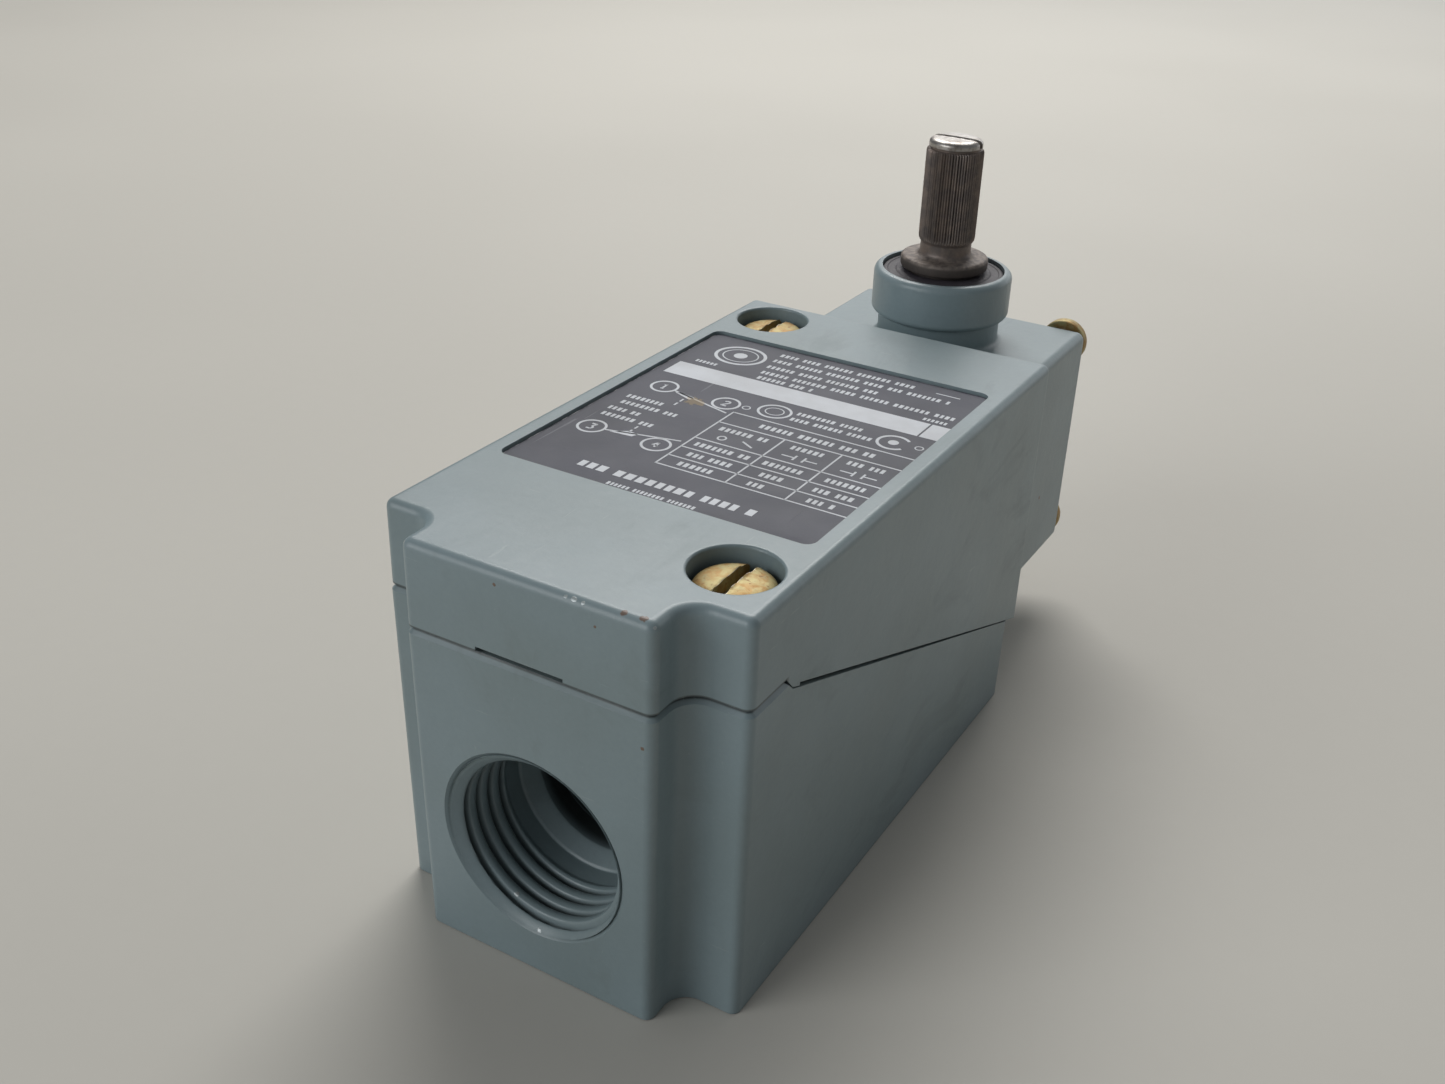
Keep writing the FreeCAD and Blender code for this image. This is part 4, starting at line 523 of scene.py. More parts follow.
cam_steel = steel("hardened_cam_steel", dark=lin(122, 118, 112), light=lin(158, 154, 148),
                  rough=(0.28, 0.42), grain=(0.4, 0.4, 2.5), rust=0.15)
ring_steel = steel("phosphated_ring_steel", dark=lin(84, 84, 88), light=lin(116, 114, 112),
                   rough=(0.36, 0.52), rust=0.2)
wire = steel("drawn_spring_wire", dark=lin(132, 132, 134), light=lin(164, 162, 158),
             rough=(0.24, 0.40), grain=(2.0, 2.0, 2.0), rust=0.12)
plated = steel("zinc_plated_steel", dark=lin(168, 170, 172), light=lin(192, 192, 188),
               rough=(0.26, 0.42), rust=0.06)
sinter = bronze("sintered_bronze")
contact = brass("stamped_brass")
phenolic = moulded("black_phenolic", lin(40, 37, 36), lin(30, 28, 28), rough=(0.34, 0.52),
                   speck=lin(92, 84, 76))
phenolic_cover = moulded("brown_phenolic", lin(56, 44, 38), lin(44, 35, 31), rough=(0.34, 0.50),
                         speck=lin(104, 88, 74))
nylon = moulded("natural_nylon", lin(214, 209, 192), lin(200, 194, 176), rough=(0.34, 0.48),
                bump=0.012, Subsurface_Weight=0.15, Subsurface_Scale=0.0015)
green = steel("green_dyed_steel", dark=lin(38, 104, 56), light=lin(54, 124, 66),
              rough=(0.34, 0.50), metallic=0.45)
seal_rubber = rubber("seal_rubber", lin(60, 56, 61), rings=(0.0, SHAFT_Y, 0.0))
gasket_rubber = rubber("gasket_rubber", lin(36, 34, 36))
shaft_black = shaft_steel("blackened_shaft_steel")
plate_ground = plate_paint("nameplate_charcoal")
plate_ink = plate_white("nameplate_white_ink")

# material, CAD pieces that wear it
LOOKS = (
    (paint_base, "base_housing"), (paint_body, "switch_body_housing"),
    (paint_head, "head_housing"), (plate_ground, "nameplate"),
    (ring_steel, "captive_ring_near captive_ring_far cam_retaining_ring"),
    (pin_steel, "drive_pin"), (cam_steel, "shaft_cam"), (bright_steel, "follower_plunger"),
    (sinter, "shaft_bushing lower_bushing plunger_bushing"),
    (phenolic, "contact_block terminal_block"), (phenolic_cover, "contact_block_cover"),
    (nylon, "contact_carrier"), (green, "ground_screw"),
    (plated, "contact_block_screws terminal_block_screws terminal_screws terminal_clamps"),
    (contact, "fixed_contacts_nc fixed_contacts_no bridge_nc bridge_no receptacle_contacts"),
    (wire, "contact_springs carrier_return_spring plunger_return_spring shaft_return_spring"),
    (shaft_black, "operating_shaft"),
    (zinc, "captive_screw_near captive_screw_far head_screws"),
    (seal_rubber, "shaft_seal"), (gasket_rubber, "plunger_seal body_gasket head_gasket"),
)
for material, names in LOOKS:
    for name in names.split():
        slots = nodes[name].data.materials
        slots.clear()
        slots.append(material)


# ---------------------------------------------------------------- mesh helpers
def mesh_object(name, bm, material):
    mesh = bpy.data.meshes.new(name)
    bm.to_mesh(mesh)
    bm.free()
    mesh.materials.append(material)
    obj = bpy.data.objects.new(name, mesh)
    bpy.context.scene.collection.objects.link(obj)
    return obj


def shade_smooth(bm, sharp_deg):
    """Smooth faces with every edge steeper than sharp_deg marked sharp."""
    bmesh.ops.recalc_face_normals(bm, faces=bm.faces[:])
    for face in bm.faces:
        face.smooth = True
    for edge in bm.edges:
        if len(edge.link_faces) == 2 and edge.calc_face_angle(0.0) > math.radians(sharp_deg):
            edge.smooth = False


def piece(name, part, material, sharp_deg, matrix=None):
    """An object from a part: points in millimetres, and faces."""
    points, faces = part
    bm = bmesh.new()
    made = [bm.verts.new(Vector(point) * MM) for point in points]
    for face in faces:
        if len(set(face)) >= 3:
            bm.faces.new([made[i] for i in dict.fromkeys(face)])
    shade_smooth(bm, sharp_deg)
    if matrix is not None:
        bm.transform(matrix)
    return mesh_object(name, bm, material)


def tube_faces(count, width, closed=True):
    """Quads between count sections, each a closed loop of width points."""
    faces = []
    for k in range(count if closed else count - 1):
        a, b = k * width, (k + 1) % count * width
        for i in range(width):
            j = (i + 1) % width
            faces.append((a + i, a + j, b + j, b + i))
    return faces


def lathe(profile, segments):
    """A ring turned about Z from a closed loop of (radius, z)."""
    points = []
    for k in range(segments):
        a = TURN * k / segments
        points += [(r * math.cos(a), r * math.sin(a), z) for r, z in profile]
    return points, tube_faces(segments, len(profile))


def join(parts):
    points, faces = [], []
    for part_points, part_faces in parts:
        first = len(points)
        points += part_points
        faces += [tuple(i + first for i in face) for face in part_faces]
    return points, faces


def unit(value):
    return min(max(value, 0.0), 1.0)


def eased(value):
    return value * value * (3.0 - 2.0 * value)


def slot_columns(rim, half, segments):
    """(x, level) of the head's grid columns; both levels stand at each slot wall."""
    count = segments // 2
    xs = [-rim * math.cos(math.pi * i / count) for i in range(count + 1)]
    gap = 0.02 * rim        # keeps the regular columns clear of the walls
    columns = [(x, "top") for x in xs if x < -half - gap] + [(-half, "top"), (-half, "bottom")]
    columns += [(x, "bottom") for x in xs if abs(x) < half - gap]
    columns += [(half, "bottom"), (half, "top")]
    return columns + [(x, "top") for x in xs if x > half + gap]


def rim_stations(columns, grid, points, half):
    """Stations round the rim: (angle, chain on the head side, chain on the slot side, next level)."""
    inner = [(level, line, x) for (x, level), line in zip(columns, grid)][1:-1]
    stations = [("end", grid[0][0], columns[0][0])]
    stations += [(level, line[-1], x) for level, line, x in inner]
    stations += [("end", grid[-1][0], columns[-1][0])]
    stations += [(level, line[0], x) for level, line, x in inner[::-1]]
    merged, i = [], 0
    while i < len(stations):
        level, point, x = stations[i]
        next_level, next_point, next_x = stations[(i + 1) % len(stations)]
        angle = math.atan2(points[point][1], points[point][0])
        at_wall = abs(abs(x) - half) < 1e-9 and abs(next_x - x) < 1e-9
        if "end" not in (level, next_level) and next_level != level and at_wall:
            top, bottom = (point, next_point) if level == "top" else (next_point, point)
            merged.append((angle, [top, bottom], [bottom], next_level))
            i += 2
        else:
            merged.append((angle, [point], [point], level))
            i += 1
    return merged


def slotted(rim, dome, slot, floor, rings, segments, rows, lip):
    """A turned part whose round top has a screwdriver slot along local Y.

    dome(r) is the top's height, slot its width, floor(y) the slot's bottom and lip(x, y) the
    metal raised along its walls. rings holds (z, radius or radius(angle)) below the rim.
    """
    half = slot / 2.0
    columns = slot_columns(rim, half, segments)
    shares = [math.sin(math.pi / 2 * (2.0 * j / rows - 1.0)) for j in range(rows + 1)]
    points, faces, grid = [], [], []

    def add(point):
        points.append(point)
        return len(points) - 1

    for i, (x, level) in enumerate(columns):
        reach = math.sqrt(max(rim * rim - x * x, 0.0))
        if i in (0, len(columns) - 1):
            grid.append([add((x, 0.0, dome(rim)))] * (rows + 1))
            continue
        line = []
        for share in shares:
            y = share * reach
            if level == "bottom":
                line.append(add((x, y, floor(y))))
                continue
            z = dome(min(math.hypot(x, y), rim))
            shift = 0.0
            if abs(abs(x) - half) < 1e-9 and abs(share) < 0.97:
                z += lip(x, y)
                shift = -math.copysign(min(0.5 * lip(x, y), 0.05), x)
            line.append(add((x + shift, y, z)))
        grid.append(line)
    for a, b in zip(grid, grid[1:]):
        for j in range(rows):
            faces.append((a[j], a[j + 1], b[j + 1], b[j]))

    stations = rim_stations(columns, grid, points, half)
    count = len(stations)
    last = None
    for z, radius in rings:
        line = []
        for angle, *_ in stations:
            r = radius(angle) if callable(radius) else radius
            line.append(add((r * math.cos(angle), r * math.sin(angle), z)))
        for a in range(count):
            b = (a + 1) % count
            if last is None:
                side = 2 if stations[a][3] == "bottom" else 1
                chain, next_chain = stations[a][side], stations[b][side]
                faces.append(tuple(chain + [line[a], line[b]] + next_chain[::-1]))
            else:
                faces.append((last[a], last[b], line[b], line[a]))
        last = line
    faces.append(tuple(last[::-1]))
    return points, faces


def rounded(profile, radius, steps=4):
    """A closed (r, z) loop with its corners rounded."""
    loop = []
    for i in range(len(profile)):
        corner = Vector(profile[i])
        back = Vector(profile[i - 1]) - corner
        ahead = Vector(profile[(i + 1) % len(profile)]) - corner
        reach = min(radius, back.length * 0.45, ahead.length * 0.45)
        start = corner + back.normalized() * reach
        end = corner + ahead.normalized() * reach
        for k in range(steps + 1):
            u = k / steps
            loop.append(tuple(start * (1 - u) ** 2 + corner * 2 * u * (1 - u) + end * u ** 2))
    return loop


# ---------------------------------------------------------------- operating shaft
TEETH = 64
KNURL_DEPTH = 0.19
TIP_RADIUS = 3.45
TIP_FLAT = 2.55                # radius of the nearly flat middle of the tip
TIP_TOP = 67.76


def knurl(radius, depth=KNURL_DEPTH):
    """radius(angle) of rounded vee teeth, slightly uneven as rolled ones are."""
    def at(angle):
        turned = angle * TEETH / TURN
        tooth = unit((abs(2.0 * (turned % 1.0) - 1.0) - 0.18) / 0.60)
        uneven = 1.0 + 0.18 * math.sin(int(turned + 1000) * 2.39)
        return radius - depth * (1.0 - tooth) * uneven
    return at


def shaft_dome(r):
    sink = 0.05
    if r < TIP_FLAT:
        return TIP_TOP - sink * (r / TIP_FLAT) ** 2
    u = (r - TIP_FLAT) / (TIP_RADIUS - TIP_FLAT)
    return TIP_TOP - sink - 0.62 * (1.0 - math.sqrt(max(1.0 - u * u, 0.0)))


# (z, radius) from the tip down: chamfer, knurl, neck, flange, journal, lower stem, pilot
SHAFT_RINGS = [
    (66.70, TIP_RADIUS), (66.66, 3.42), (66.60, 3.30), (66.46, 3.28), (66.40, 3.32),
    (66.36, knurl(3.46, depth=0.08)), (66.24, knurl(3.64)),
    *((z, knurl(3.7)) for z in (66.0, 64.5, 63.0, 61.5, 60.0, 58.5, 57.0, 55.6, 54.98)),
    (54.66, knurl(3.66, depth=0.08)), (54.45, 3.55), (54.25, 3.40), (54.05, 3.35), (53.1, 3.35),
    (52.86, 3.38), (52.62, 3.5), (52.46, 3.72), (52.37, 4.05), (52.34, 4.6), (52.33, 5.15),
    (52.30, 5.4), (52.22, 5.58), (52.08, 5.71), (51.92, 5.75), (51.15, 5.75), (50.93, 5.73),
    (50.80, 5.62), (50.75, 5.42), (50.75, 4.75), (47.0, 4.75), (34.9, 4.75), (34.7, 4.68),
    (34.6, 4.55), (34.6, 4.0), (28.0, 4.0), (21.2, 4.0), (21.05, 3.95), (20.95, 3.8),
    (20.95, 2.6), (20.1, 2.6), (20.1, 3.0), (15.0, 3.0), (11.7, 3.0), (11.48, 2.9), (11.4, 2.7),
    (11.4, 1.2),
]
shaft = piece(
    "operating_shaft_knurled",
    slotted(TIP_RADIUS, shaft_dome, slot=0.9, floor=lambda y: 66.78 + 0.02 * math.cos(y * 1.4),
            rings=SHAFT_RINGS, segments=6 * TEETH, rows=30,
            lip=lambda x, y: 0.015 + 0.01 * math.sin(5.1 * y)),
    shaft_black, sharp_deg=34.0,
    matrix=(Matrix.Translation(Vector((0, SHAFT_Y, 0)) * MM)
            @ Matrix.Rotation(math.pi / 2, 4, "Z")))


# ---------------------------------------------------------------- captive and head screws
def head_dome(top, rim, drop=1.02):
    """A pan head's crown: nearly flat in the middle, rounding over to the rim."""
    def height(r):
        u = min(r / rim, 1.0)
        return top - drop * (0.22 * u * u + 0.78 * (1.0 - math.sqrt(max(1.0 - u ** 4.2, 0.0))))
    return height


def burr(seed, size):
    """Raised, broken metal along the lips of a worn screwdriver slot."""
    rnd = random.Random(seed)
    waves = [(rnd.uniform(1.5, 6.0), rnd.uniform(0, 6.3)) for _ in range(4)]

    def height(x, y):
        side = 2.1 if x > 0 else 0.0
        s = sum(math.sin(rate * y + phase + side) for rate, phase in waves) / 4.0
        return size * (0.55 + 0.9 * s) if s > -0.6 else 0.0
    return height


def rolled_thread(start, end, root, crest, drops):
    """Thread crests as plain rings; drops are the four stations of one crest below its start."""
    rings, z = [], start
    while z > end:
        rings += [(z - drop, r) for drop, r in zip(drops, (root, crest, crest, root))]
        z -= SCREW_PITCH
    return rings


def captive_screw(name, x, y, ring_low, seed):
    """A captive screw along Z; ring_low is the underside of the ring in its groove."""
    top, rim = 45.08, 3.98
    groove_top = ring_low + 0.7 + 0.1
    tip = ring_low - 4.9
    # (z, radius) from the rim down: head, shank, ring groove, thread, tip
    rings = [(43.5, rim), (43.3, 4.0), (42.55, 4.0), (42.36, 3.96), (42.24, 3.84), (42.23, 3.4),
             (42.23, 2.3), (42.1, 2.12), (41.9, 2.05),
             (groove_top + 0.02, 2.05), (groove_top, 2.0), (groove_top, 1.62),
             (groove_top - 0.03, 1.6), (ring_low - 0.07, 1.6), (ring_low - 0.1, 1.64),
             (ring_low - 0.1, 1.9), (ring_low - 0.16, 1.98)]
    rings += rolled_thread(ring_low - 0.45, tip + 0.9, root=1.74, crest=2.05,
                           drops=(-0.2, 0.0, 0.12, 0.32))
    rings += [(tip + 0.55, 1.75), (tip + 0.12, 1.45), (tip, 1.25), (tip, 0.6)]
    part = slotted(rim, head_dome(top, rim), slot=1.3,
                   floor=lambda y: top - 1.48 + 0.03 * math.sin(2.2 * y),
                   rings=rings, segments=120, rows=34, lip=burr(seed, size=0.17))
    return piece(name, part, zinc, sharp_deg=36.0,
                 matrix=Matrix.Translation(Vector((x, y, 0)) * MM))


def head_screw_set():
    """Four screws along Y in a square about the plunger's axis."""
    top, rim, spacing = 65.29, 3.12, 13.5
    # (y, radius) from the rim towards -Y
    rings = [(64.0, rim), (63.85, 3.15), (63.2, 3.15), (63.02, 3.10), (62.94, 3.0), (62.94, 2.6),
             (62.94, 2.1), (62.7, 2.0), (50.0, 2.0), (36.6, 2.0)]
    rings += rolled_thread(36.2, 34.4, root=1.7, crest=2.0, drops=(0.0, 0.3, 0.45, 0.7))
    rings += [(33.85, 1.66), (33.55, 1.45), (33.47, 1.2), (33.47, 0.6)]
    # local +Z becomes +Y, the slot runs along X
    lay = Matrix(((0, 1, 0, 0), (0, 0, 1, 0), (1, 0, 0, 0), (0, 0, 0, 1)))
    parts = []
    for i, (side, level) in enumerate(((1, 1), (-1, 1), (1, -1), (-1, -1))):
        points, faces = slotted(rim, head_dome(top, rim), slot=1.05, floor=lambda y: top - 1.05,
                                rings=rings, segments=96, rows=28, lip=burr(20 + i, size=0.05))
        place = Matrix.Translation((side * spacing, 0, PLUNGER_Z + level * spacing)) @ lay
        parts.append(([tuple(place @ Vector(point)) for point in points], faces))
    return piece("head_screws_slotted", join(parts), zinc, sharp_deg=36.0)


CAPTIVE_X, CAPTIVE_Y = 14.7, 29.75
near_screw = captive_screw("captive_screw_near_head", CAPTIVE_X, -CAPTIVE_Y, 30.6, seed=3)
far_screw = captive_screw("captive_screw_far_head", -CAPTIVE_X, CAPTIVE_Y, 6.6, seed=11)
head_screws = head_screw_set()

# ---------------------------------------------------------------- rubber parts
# (radius, z) of the shaft seal's section
SEAL_PROFILE = [(8.03, 49.04), (8.03, 50.02), (7.80, 50.16), (7.42, 50.16), (7.32, 50.06),
                (6.35, 50.06), (6.22, 50.16), (5.5, 50.34), (5.0, 50.38), (4.83, 50.2),
                (4.83, 49.04)]
points, faces = lathe(rounded(SEAL_PROFILE, radius=0.10), segments=160)
lip_seal = piece("shaft_lip_seal", ([(x, y + SHAFT_Y, z) for x, y, z in points], faces),
                 seal_rubber, sharp_deg=40.0)

# (radius, y) of the plunger ring's oval section
O_RING_PROFILE = [(3.10 + 0.54 * math.cos(a), 34.15 + 0.62 * math.sin(a))
                  for a in [TURN * k / 24 for k in range(24)]]
points, faces = lathe(O_RING_PROFILE, segments=96)
o_ring = piece("plunger_o_ring", ([(x, y, z + PLUNGER_Z) for x, z, y in points], faces),
               gasket_rubber, sharp_deg=60.0)


def soft_copy(name, node, width, sag, seed):
    """A rubber gasket from its CAD solid: edges rolled over by width, faces uneven by sag."""
    bm = bmesh.new()
    bm.from_mesh(nodes[node].data)
    bmesh.ops.remove_doubles(bm, verts=bm.verts[:], dist=2e-6)
    bmesh.ops.dissolve_limit(bm, angle_limit=math.radians(1.0), verts=bm.verts[:],
                             edges=bm.edges[:])
    sharp = [edge for edge in bm.edges
             if len(edge.link_faces) == 2 and edge.calc_face_angle(0.0) > math.radians(40)]
    bmesh.ops.bevel(bm, geom=sharp, offset=width * MM, offset_type="OFFSET", segments=3,
                    profile=0.6, affect="EDGES", clamp_overlap=True)
    bmesh.ops.triangulate(bm, faces=bm.faces[:])
    centre = sum((vert.co for vert in bm.verts), Vector()) / len(bm.verts)
    for vert in bm.verts:
        x, y, z = vert.co / MM
        wave = (math.sin(0.43 * x + seed) * math.sin(0.37 * y + 1.3 * seed)
                * math.cos(0.41 * z + seed))
        vert.co -= (vert.co - centre).normalized() * abs(wave) * sag * MM
    shade_smooth(bm, sharp_deg=38.0)
    return mesh_object(name, bm, gasket_rubber)


body_gasket = soft_copy("body_gasket_rubber", "body_gasket", width=0.25, sag=0.02, seed=1.0)
head_gasket = soft_copy("head_gasket_rubber", "head_gasket", width=0.10, sag=0.01, seed=2.0)

# ---------------------------------------------------------------- conduit thread
CONDUIT_PITCH = 25.4 / 14.0
CONDUIT_Z = 15.6
MOUTH_Y, INNER_Y = -42.05, -27.32
SLEEVE_RADIUS = 10.62          # outside of the sleeve that carries the thread
BORE_RADIUS = 9.42


def thread_radius(y, angle):
    """Inner surface of the tapped and painted entry at depth y, angle 0 at the top."""
    taper = (y + 42.1) / 32.0
    root, crest = 10.34 - taper, 9.30 - 0.6 * taper
    turned = ((y + 41.75) / CONDUIT_PITCH - angle / TURN) % 1.0
    flank = abs(2.0 * turned - 1.0)                 # 0 on the crest, 1 in the root
    dome = 0.16 * (min(flank, 0.6) / 0.6) ** 2      # the paint rounds the crests
    full = crest + dome + (root - crest - dome) * eased(unit((flank - 0.52) / 0.36))
    # the mouth's countersink runs into the first turn
    lead = unit((y + 42.0) / 1.1)
    full = full * lead + 10.38 * (1.0 - lead)
    # plain bore, then a rounded shoulder down to the wire passage
    if y < -31.9:
        plain = BORE_RADIUS
    elif y < -30.0:
        u = (y + 31.9) / 1.9
        plain = BORE_RADIUS - 0.12 * min(u / 0.12, 1.0) - 1.30 * u
    else:
        plain = 8.0
    # the thread runs out into the plain bore
    out = eased(unit((y + 34.7) / 0.8))
    return full * (1.0 - out) + plain * out


def conduit_thread(segments=160, steps=190):
    depths = [MOUTH_Y + (INNER_Y - MOUTH_Y) * i / steps for i in range(1, steps + 1)]
    points = []
    for k in range(segments):
        a = TURN * k / segments
        # (radius, y): outside of the sleeve, its mouth, then inwards along the thread
        line = [(SLEEVE_RADIUS, INNER_Y), (SLEEVE_RADIUS, -41.45), (10.42, MOUTH_Y)]
        line += [(thread_radius(y, a), y) for y in depths]
        points += [(r * math.sin(a), y, CONDUIT_Z + r * math.cos(a)) for r, y in line]
    paint = enamel("enamel_conduit_thread",
                   chips=[(0.5, -41.9, 5.2, 0.35), (-3.5, -40.2, 6.9, 0.3)],
                   specks=[(3.0, -38.0, 6.5, 0.3)], entry=True)
    part = points, tube_faces(segments, steps + 3)
    return piece("conduit_thread_turns", part, paint, sharp_deg=50.0)


conduit = conduit_thread()

# ---------------------------------------------------------------- nameplate print
PLATE_TOP = 45.6
INK_LOW, INK_HIGH = PLATE_TOP - 0.01, PLATE_TOP + 0.012
DIGIT_HEIGHT = 1.25
DIGIT_WIDTH = DIGIT_HEIGHT * 0.55
# strokes of each digit as x, y, x, y in half widths and half heights
DIGITS = {1: [(0, -1, 0, 1), (-0.6, 0.55, 0, 1), (-0.6, -1, 0.6, -1)],
          2: [(-1, 0.7, -0.5, 1), (-0.5, 1, 0.6, 1), (0.6, 1, 1, 0.45), (1, 0.45, -1, -1),
              (-1, -1, 1, -1)],
          3: [(-1, 1, 1, 1), (1, 1, 0, 0.1), (0, 0.1, 1, -0.4), (1, -0.4, 0.5, -1),
              (0.5, -1, -1, -1)],
          4: [(0.4, -1, 0.4, 1), (0.4, 1, -1, -0.3), (-1, -0.3, 1, -0.3)]}
shapes = []
ink_rnd = random.Random(5)


def slab(outline):
    """A thin raised polygon of ink; outline holds (x, y)."""
    n = len(outline)
    points = [(x, y, z) for z in (INK_LOW, INK_HIGH) for x, y in outline]
    faces = [tuple(range(n))[::-1], tuple(range(n, 2 * n))]
    faces += [(i, (i + 1) % n, n + (i + 1) % n, n + i) for i in range(n)]
    shapes.append((points, faces))


def bar(x0, y0, x1, y1):
    slab([(x0, y0), (x1, y0), (x1, y1), (x0, y1)])


def rule(x0, y0, x1, y1, width):
    """A straight line from one point to the other."""
    along = Vector((x1 - x0, y1 - y0)).normalized()
    side = Vector((-along.y, along.x)) * width / 2
    slab([(x0 - side.x, y0 - side.y), (x1 - side.x, y1 - side.y),
          (x1 + side.x, y1 + side.y), (x0 + side.x, y0 + side.y)])


def hoop(cx, cy, rx, ry, width, steps=56, low=0.0, high=TURN):
    """An oval line, or an arc of one between the angles low and high."""
    whole = high - low > 6.28
    count = steps if whole else steps + 1
    section = ((0, INK_LOW), (width, INK_LOW), (width, INK_HIGH), (0, INK_HIGH))
    points = []
    for k in range(count):
        a = low + (high - low) * k / steps
        points += [(cx + (rx - inset) * math.cos(a), cy + (ry - inset) * math.sin(a), z)
                   for inset, z in section]
    faces = tube_faces(count, 4, closed=whole)
    if not whole:
        end = 4 * steps
        faces += [(0, 1, 2, 3), (end + 3, end + 2, end + 1, end)]
    shapes.append((points, faces))


def disc(cx, cy, r, steps=24):
    angles = [TURN * k / steps for k in range(steps)]
    slab([(cx + r * math.cos(a), cy + r * math.sin(a)) for a in angles])


def words(x0, x1, y, height, cell=0.50):
    """A line of small print as plain blocks in word-length groups; it carries no text."""
    x, height = x0, height * 0.86
    while x < x1 - 0.3:
        for _ in range(ink_rnd.randint(3, 8)):
            width = cell * height * ink_rnd.uniform(0.75, 1.05)
            if x + width > x1:
                break
            bar(x, y - height / 2, x + width, y + height / 2)
            x += width + 0.27 * height
        x += 0.62 * height


def paragraph(height, *lines):
    """Lines of print, each (x0, x1, y)."""
    for x0, x1, y in lines:
        words(x0, x1, y, height)


def rules(width, *lines):
    for line in lines:
        rule(*line, width)


def digit(number, cx, cy):
    for x0, y0, x1, y1 in DIGITS[number]:
        rule(cx + x0 * DIGIT_WIDTH / 2, cy + y0 * DIGIT_HEIGHT / 2,
             cx + x1 * DIGIT_WIDTH / 2, cy + y1 * DIGIT_HEIGHT / 2, width=0.24)


def print_heading():
    """Blank white strip with a plain box at its end, ring mark and small print above."""
    strip_low, strip_high = 7.45, 11.30
    bar(-17.05, strip_low, 15.75, strip_high)
    bar(15.98, strip_low, 18.20, strip_high)
    mark = (-12.0, 17.0)
    hoop(*mark, 3.3, 3.0, width=0.42)
    hoop(*mark, 2.3, 2.05, width=0.16)
    disc(*mark, 0.85)
    paragraph(0.8, (-15.7, -12.4, 12.75))
    paragraph(1.02, (-8.0, 10.6, 20.0), (-7.9, 15.2, 18.0), (-7.6, 7.2, 15.9),
              (-7.3, 17.6, 13.95), (-6.9, 0.6, 12.25))
    paragraph(0.8, (14.4, 17.4, 12.25))
    rule(12.6, 19.9, 15.6, 19.9, width=0.18)


def print_diagram():
    """Contact diagram, with plain rings and small print beside it."""
    for number, cx, cy in ((1, -14.3, 3.5), (2, -5.9, 3.25), (3, -14.7, -10.5), (4, -6.35, -10.6)):
        hoop(cx, cy, 1.72, 1.72, width=0.30)
        digit(number, cx, cy)
    rule(-12.62, 3.1, -4.5, 0.9, width=0.24)
    slab([(-12.4, 2.75), (-9.9, 1.75), (-9.6, 2.55), (-11.9, 3.0)])
    rules(0.22, (-10.5, 1.55, -10.5, 0.75), (-10.5, 0.30, -10.5, -0.45))
    rule(-12.95, -10.45, -4.6, -8.35, width=0.24)
    slab([(-12.3, -10.6), (-9.6, -10.35), (-9.3, -9.55), (-10.6, -9.3)])
    rules(0.22, (-10.5, -7.75, -10.5, -8.45), (-10.5, -8.9, -10.5, -9.5))
    paragraph(1.0, (-16.3, -11.5, -1.15), (-15.9, -8.4, -2.95), (-16.2, -11.9, -5.0),
              (-15.9, -8.8, -6.8))
    hoop(-0.25, 4.4, 2.05, 1.9, width=0.30)
    hoop(-0.25, 4.4, 1.15, 1.05, width=0.14)
    hoop(-3.4, 3.5, 0.52, 0.52, width=0.14, steps=28)
    hoop(14.4, 4.4, 1.95, 1.9, width=0.34, low=0.7, high=5.6)
    disc(14.4, 4.4, 0.6)
    hoop(17.35, 4.6, 0.52, 0.52, width=0.14, steps=28)
    paragraph(0.95, (2.2, 10.7, 5.35), (2.2, 12.1, 3.65))


def print_table():
    """Ratings table, values left out."""
    left, right, head, bottom = -3.95, 18.25, -1.6, -14.35
    rules(0.20, *((left, y, right, y) for y in (1.6, head, -6.6, -9.35, -11.9, bottom)),
          (left, 1.7, left, -14.45), *((x, head, x, bottom) for x in (4.4, 11.3)))
    words(0.4, 14.9, 0.0, height=1.15)
    paragraph(1.1, (-2.9, 3.6, -3.05), (5.9, 10.2, -2.95), (12.6, 17.4, -2.95))
    hoop(-1.4, -5.2, 0.55, 0.6, width=0.2, steps=28)
    rule(0.9, -4.7, 2.5, -5.6, width=0.24)
    # a pair of upright strokes with a lead on each side
    for cx in (8.0, 14.9):
        rule(cx - 2.1, -5.15, cx - 0.6, -5.15, width=0.2)
        rules(0.24, *((x, -4.55, x, -5.75) for x in (cx - 0.55, cx + 0.55)))
        rule(cx + 0.6, -5.15, cx + 2.1, -5.15, width=0.2)
    paragraph(1.1, (-3.0, 3.6, -8.0), (5.3, 10.6, -8.0), (12.6, 17.4, -8.0),
              (-2.3, 3.0, -10.65), (6.4, 9.4, -10.65), (12.6, 17.4, -10.65),
              (-1.9, 2.4, -13.15), (6.4, 9.4, -13.15), (13.2, 16.4, -13.15))


print_heading()
print_diagram()
print_table()
# a heavy and a light line of blocks at the plate's -Y edge
words(-10.4, 10.6, -18.7, height=1.5, cell=0.72)
words(-5.4, 5.6, -21.05, height=0.75)
ink = piece("nameplate_print", join(shapes), plate_ink, sharp_deg=30.0)

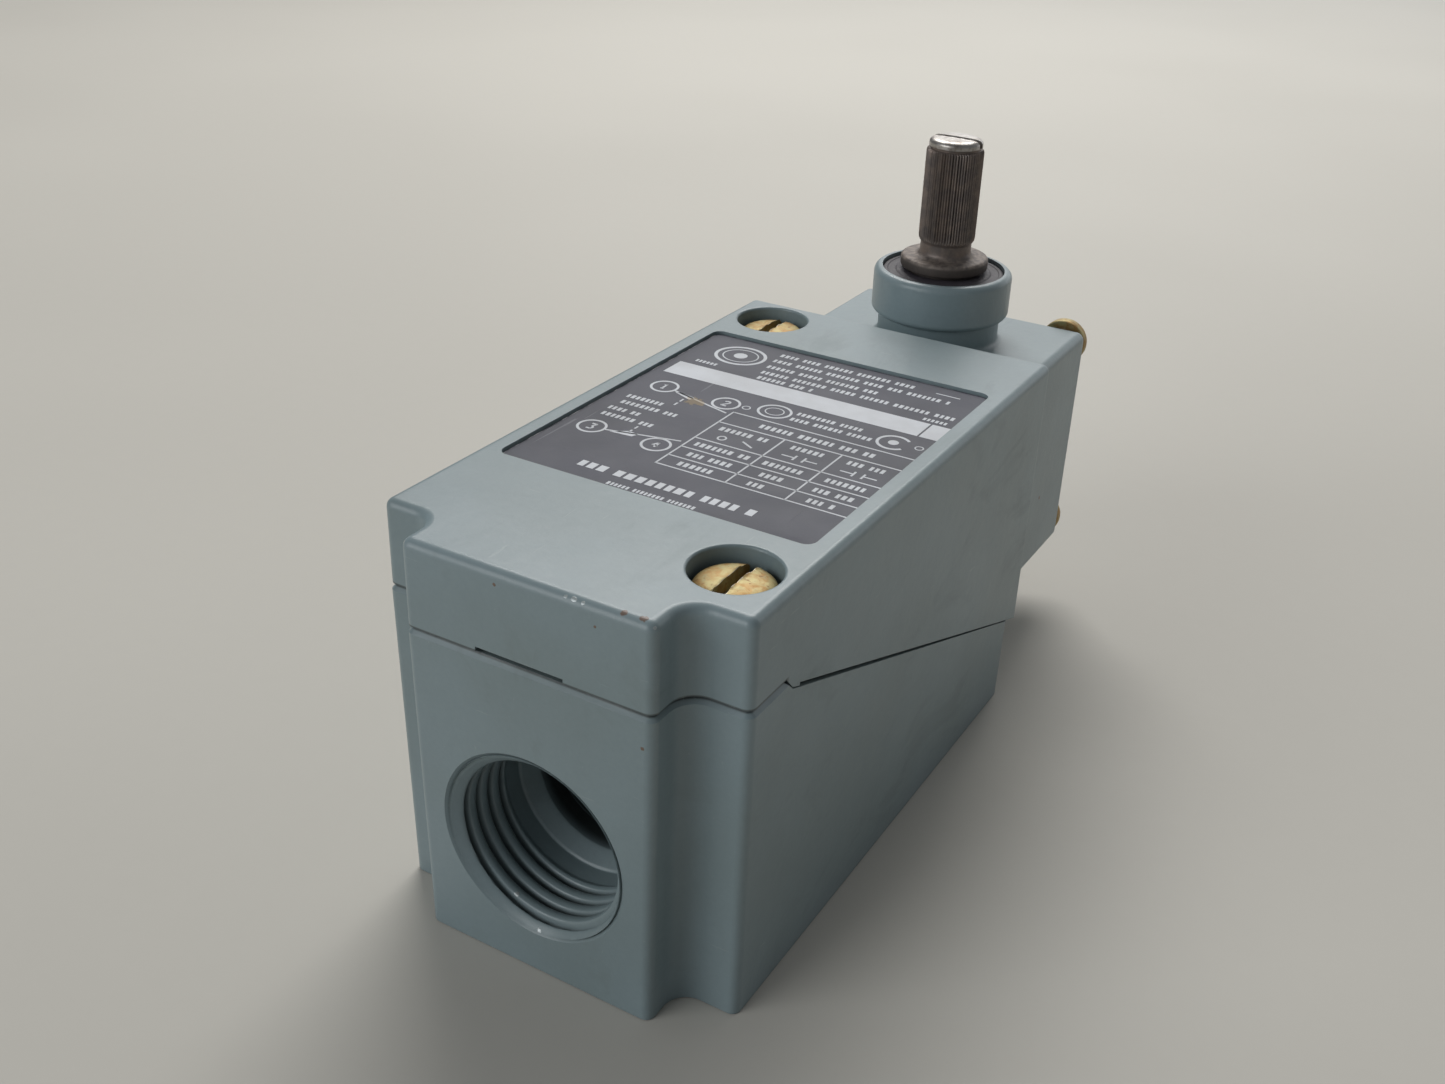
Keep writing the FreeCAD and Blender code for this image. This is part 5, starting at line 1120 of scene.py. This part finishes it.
# ---------------------------------------------------------------- riding
# object, body it rides, CAD piece it replaces, slot
RIDERS = (
    (shaft, "shaft", "operating_shaft", "dark_steel"),
    (near_screw, "near_screw", "captive_screw_near", "yellow_zinc"),
    (far_screw, "far_screw", "captive_screw_far", "yellow_zinc"),
    (head_screws, "switch_body", "head_screws", "yellow_zinc"),
    (lip_seal, "switch_body", "shaft_seal", "black_rubber"),
    (o_ring, "switch_body", "plunger_seal", "black_rubber"),
    (body_gasket, "switch_body", "body_gasket", "black_rubber"),
    (head_gasket, "switch_body", "head_gasket", "black_rubber"),
    (conduit, "base", None, "housing_paint"),
    (ink, "switch_body", None, "nameplate_ink"),
)
for obj, body, node, slot in RIDERS:
    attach(obj, body)
    if node:
        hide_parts(node)

# ---------------------------------------------------------------- floor, light, camera
BACKDROP = lin(206, 206, 202)
BACKDROP_STRENGTH = 0.82


def floor_material():
    """Pale matt studio floor that runs out into the backdrop."""
    t = Surface("pale_floor")
    t.mottle(lin(198, 195, 187), lin(194, 191, 183), fade=(0.35, 0.65), scale=0.004, detail=2.0)
    t.shade(t.spread(span=(0.99, 1.01), scale=0.35))
    away = t.rise(t.vector("LENGTH", t.mm), fade=(450.0, 1700.0))
    near_black = (0.02, 0.02, 0.02, 1.0)
    t.cover(away, near_black)
    t.bump(t.noise(scale=0.5), depth=0.006)
    return t.done(t.spread(span=(0.62, 0.70), scale=0.02), Specular_IOR_Level=0.3,
                  Emission_Color=BACKDROP, Emission_Strength=t.times(away, BACKDROP_STRENGTH))


bm = bmesh.new()
bmesh.ops.create_grid(bm, x_segments=8, y_segments=8, size=3.0)
floor = mesh_object("floor", bm, floor_material())
floor.location = (0, 0, -0.0001)


def area(name, place, target, size, watts, colour):
    """A rectangular light aimed at target, hidden from the camera."""
    light = bpy.data.lights.new(name, "AREA")
    light.shape = "RECTANGLE"
    light.size, light.size_y = size
    light.energy = watts
    light.color = colour
    obj = bpy.data.objects.new(name, light)
    bpy.context.scene.collection.objects.link(obj)
    obj.location = place
    obj.rotation_mode = "QUATERNION"
    obj.rotation_quaternion = (Vector(target) - Vector(place)).to_track_quat("-Z", "Y")
    obj.visible_camera = False


area("key", place=(-0.28, 0.55, 0.70), target=(0, 0.02, 0.02), size=(0.60, 0.45), watts=5.9,
     colour=(1.0, 0.985, 0.965))
area("fill", place=(-0.45, -0.85, 0.42), target=(0, -0.02, 0.02), size=(0.7, 0.6), watts=4.2,
     colour=(0.96, 0.985, 1.0))
area("back_wall", place=(0.10, 1.05, 0.30), target=(0, 0.0, 0.04), size=(1.8, 0.45), watts=2.6,
     colour=(0.97, 0.985, 1.0))

# the camera sees a plain pale backdrop; the light on the part stays low
world = bpy.data.worlds.new("studio")
world.use_nodes = True
tree = world.node_tree
ambient = tree.nodes["Background"]
ambient.inputs["Color"].default_value = (0.86, 0.89, 0.92, 1.0)
ambient.inputs["Strength"].default_value = 0.19
seen = tree.nodes.new("ShaderNodeBackground")
seen.inputs["Color"].default_value = BACKDROP
seen.inputs["Strength"].default_value = BACKDROP_STRENGTH
path = tree.nodes.new("ShaderNodeLightPath")
blend = tree.nodes.new("ShaderNodeMixShader")
tree.links.new(path.outputs["Is Camera Ray"], blend.inputs[0])
tree.links.new(ambient.outputs[0], blend.inputs[1])
tree.links.new(seen.outputs[0], blend.inputs[2])
tree.links.new(blend.outputs[0], tree.nodes["World Output"].inputs["Surface"])
bpy.context.scene.world = world
bpy.context.scene.view_settings.view_transform = "Standard"

# the camera's own axes in the world, and its place in metres
CAMERA_RIGHT = (0.85812493, 0.51246701, 0.03160955)
CAMERA_UP = (-0.26614607, 0.39132449, 0.88092645)
CAMERA_BACK = (0.43907615, -0.76435771, 0.47219639)
CAMERA_PLACE = (0.07287, -0.13356, 0.11240)
lens = bpy.data.cameras.new("camera")
lens.sensor_fit = "HORIZONTAL"
lens.sensor_width = 36.0
lens.lens = 37.6230145
lens.clip_start, lens.clip_end = 0.001, 20.0
camera = bpy.data.objects.new("camera", lens)
bpy.context.scene.collection.objects.link(camera)
pose = Matrix((CAMERA_RIGHT, CAMERA_UP, CAMERA_BACK)).transposed().to_4x4()
pose.translation = Vector(CAMERA_PLACE)
camera.matrix_world = pose
bpy.context.scene.camera = camera
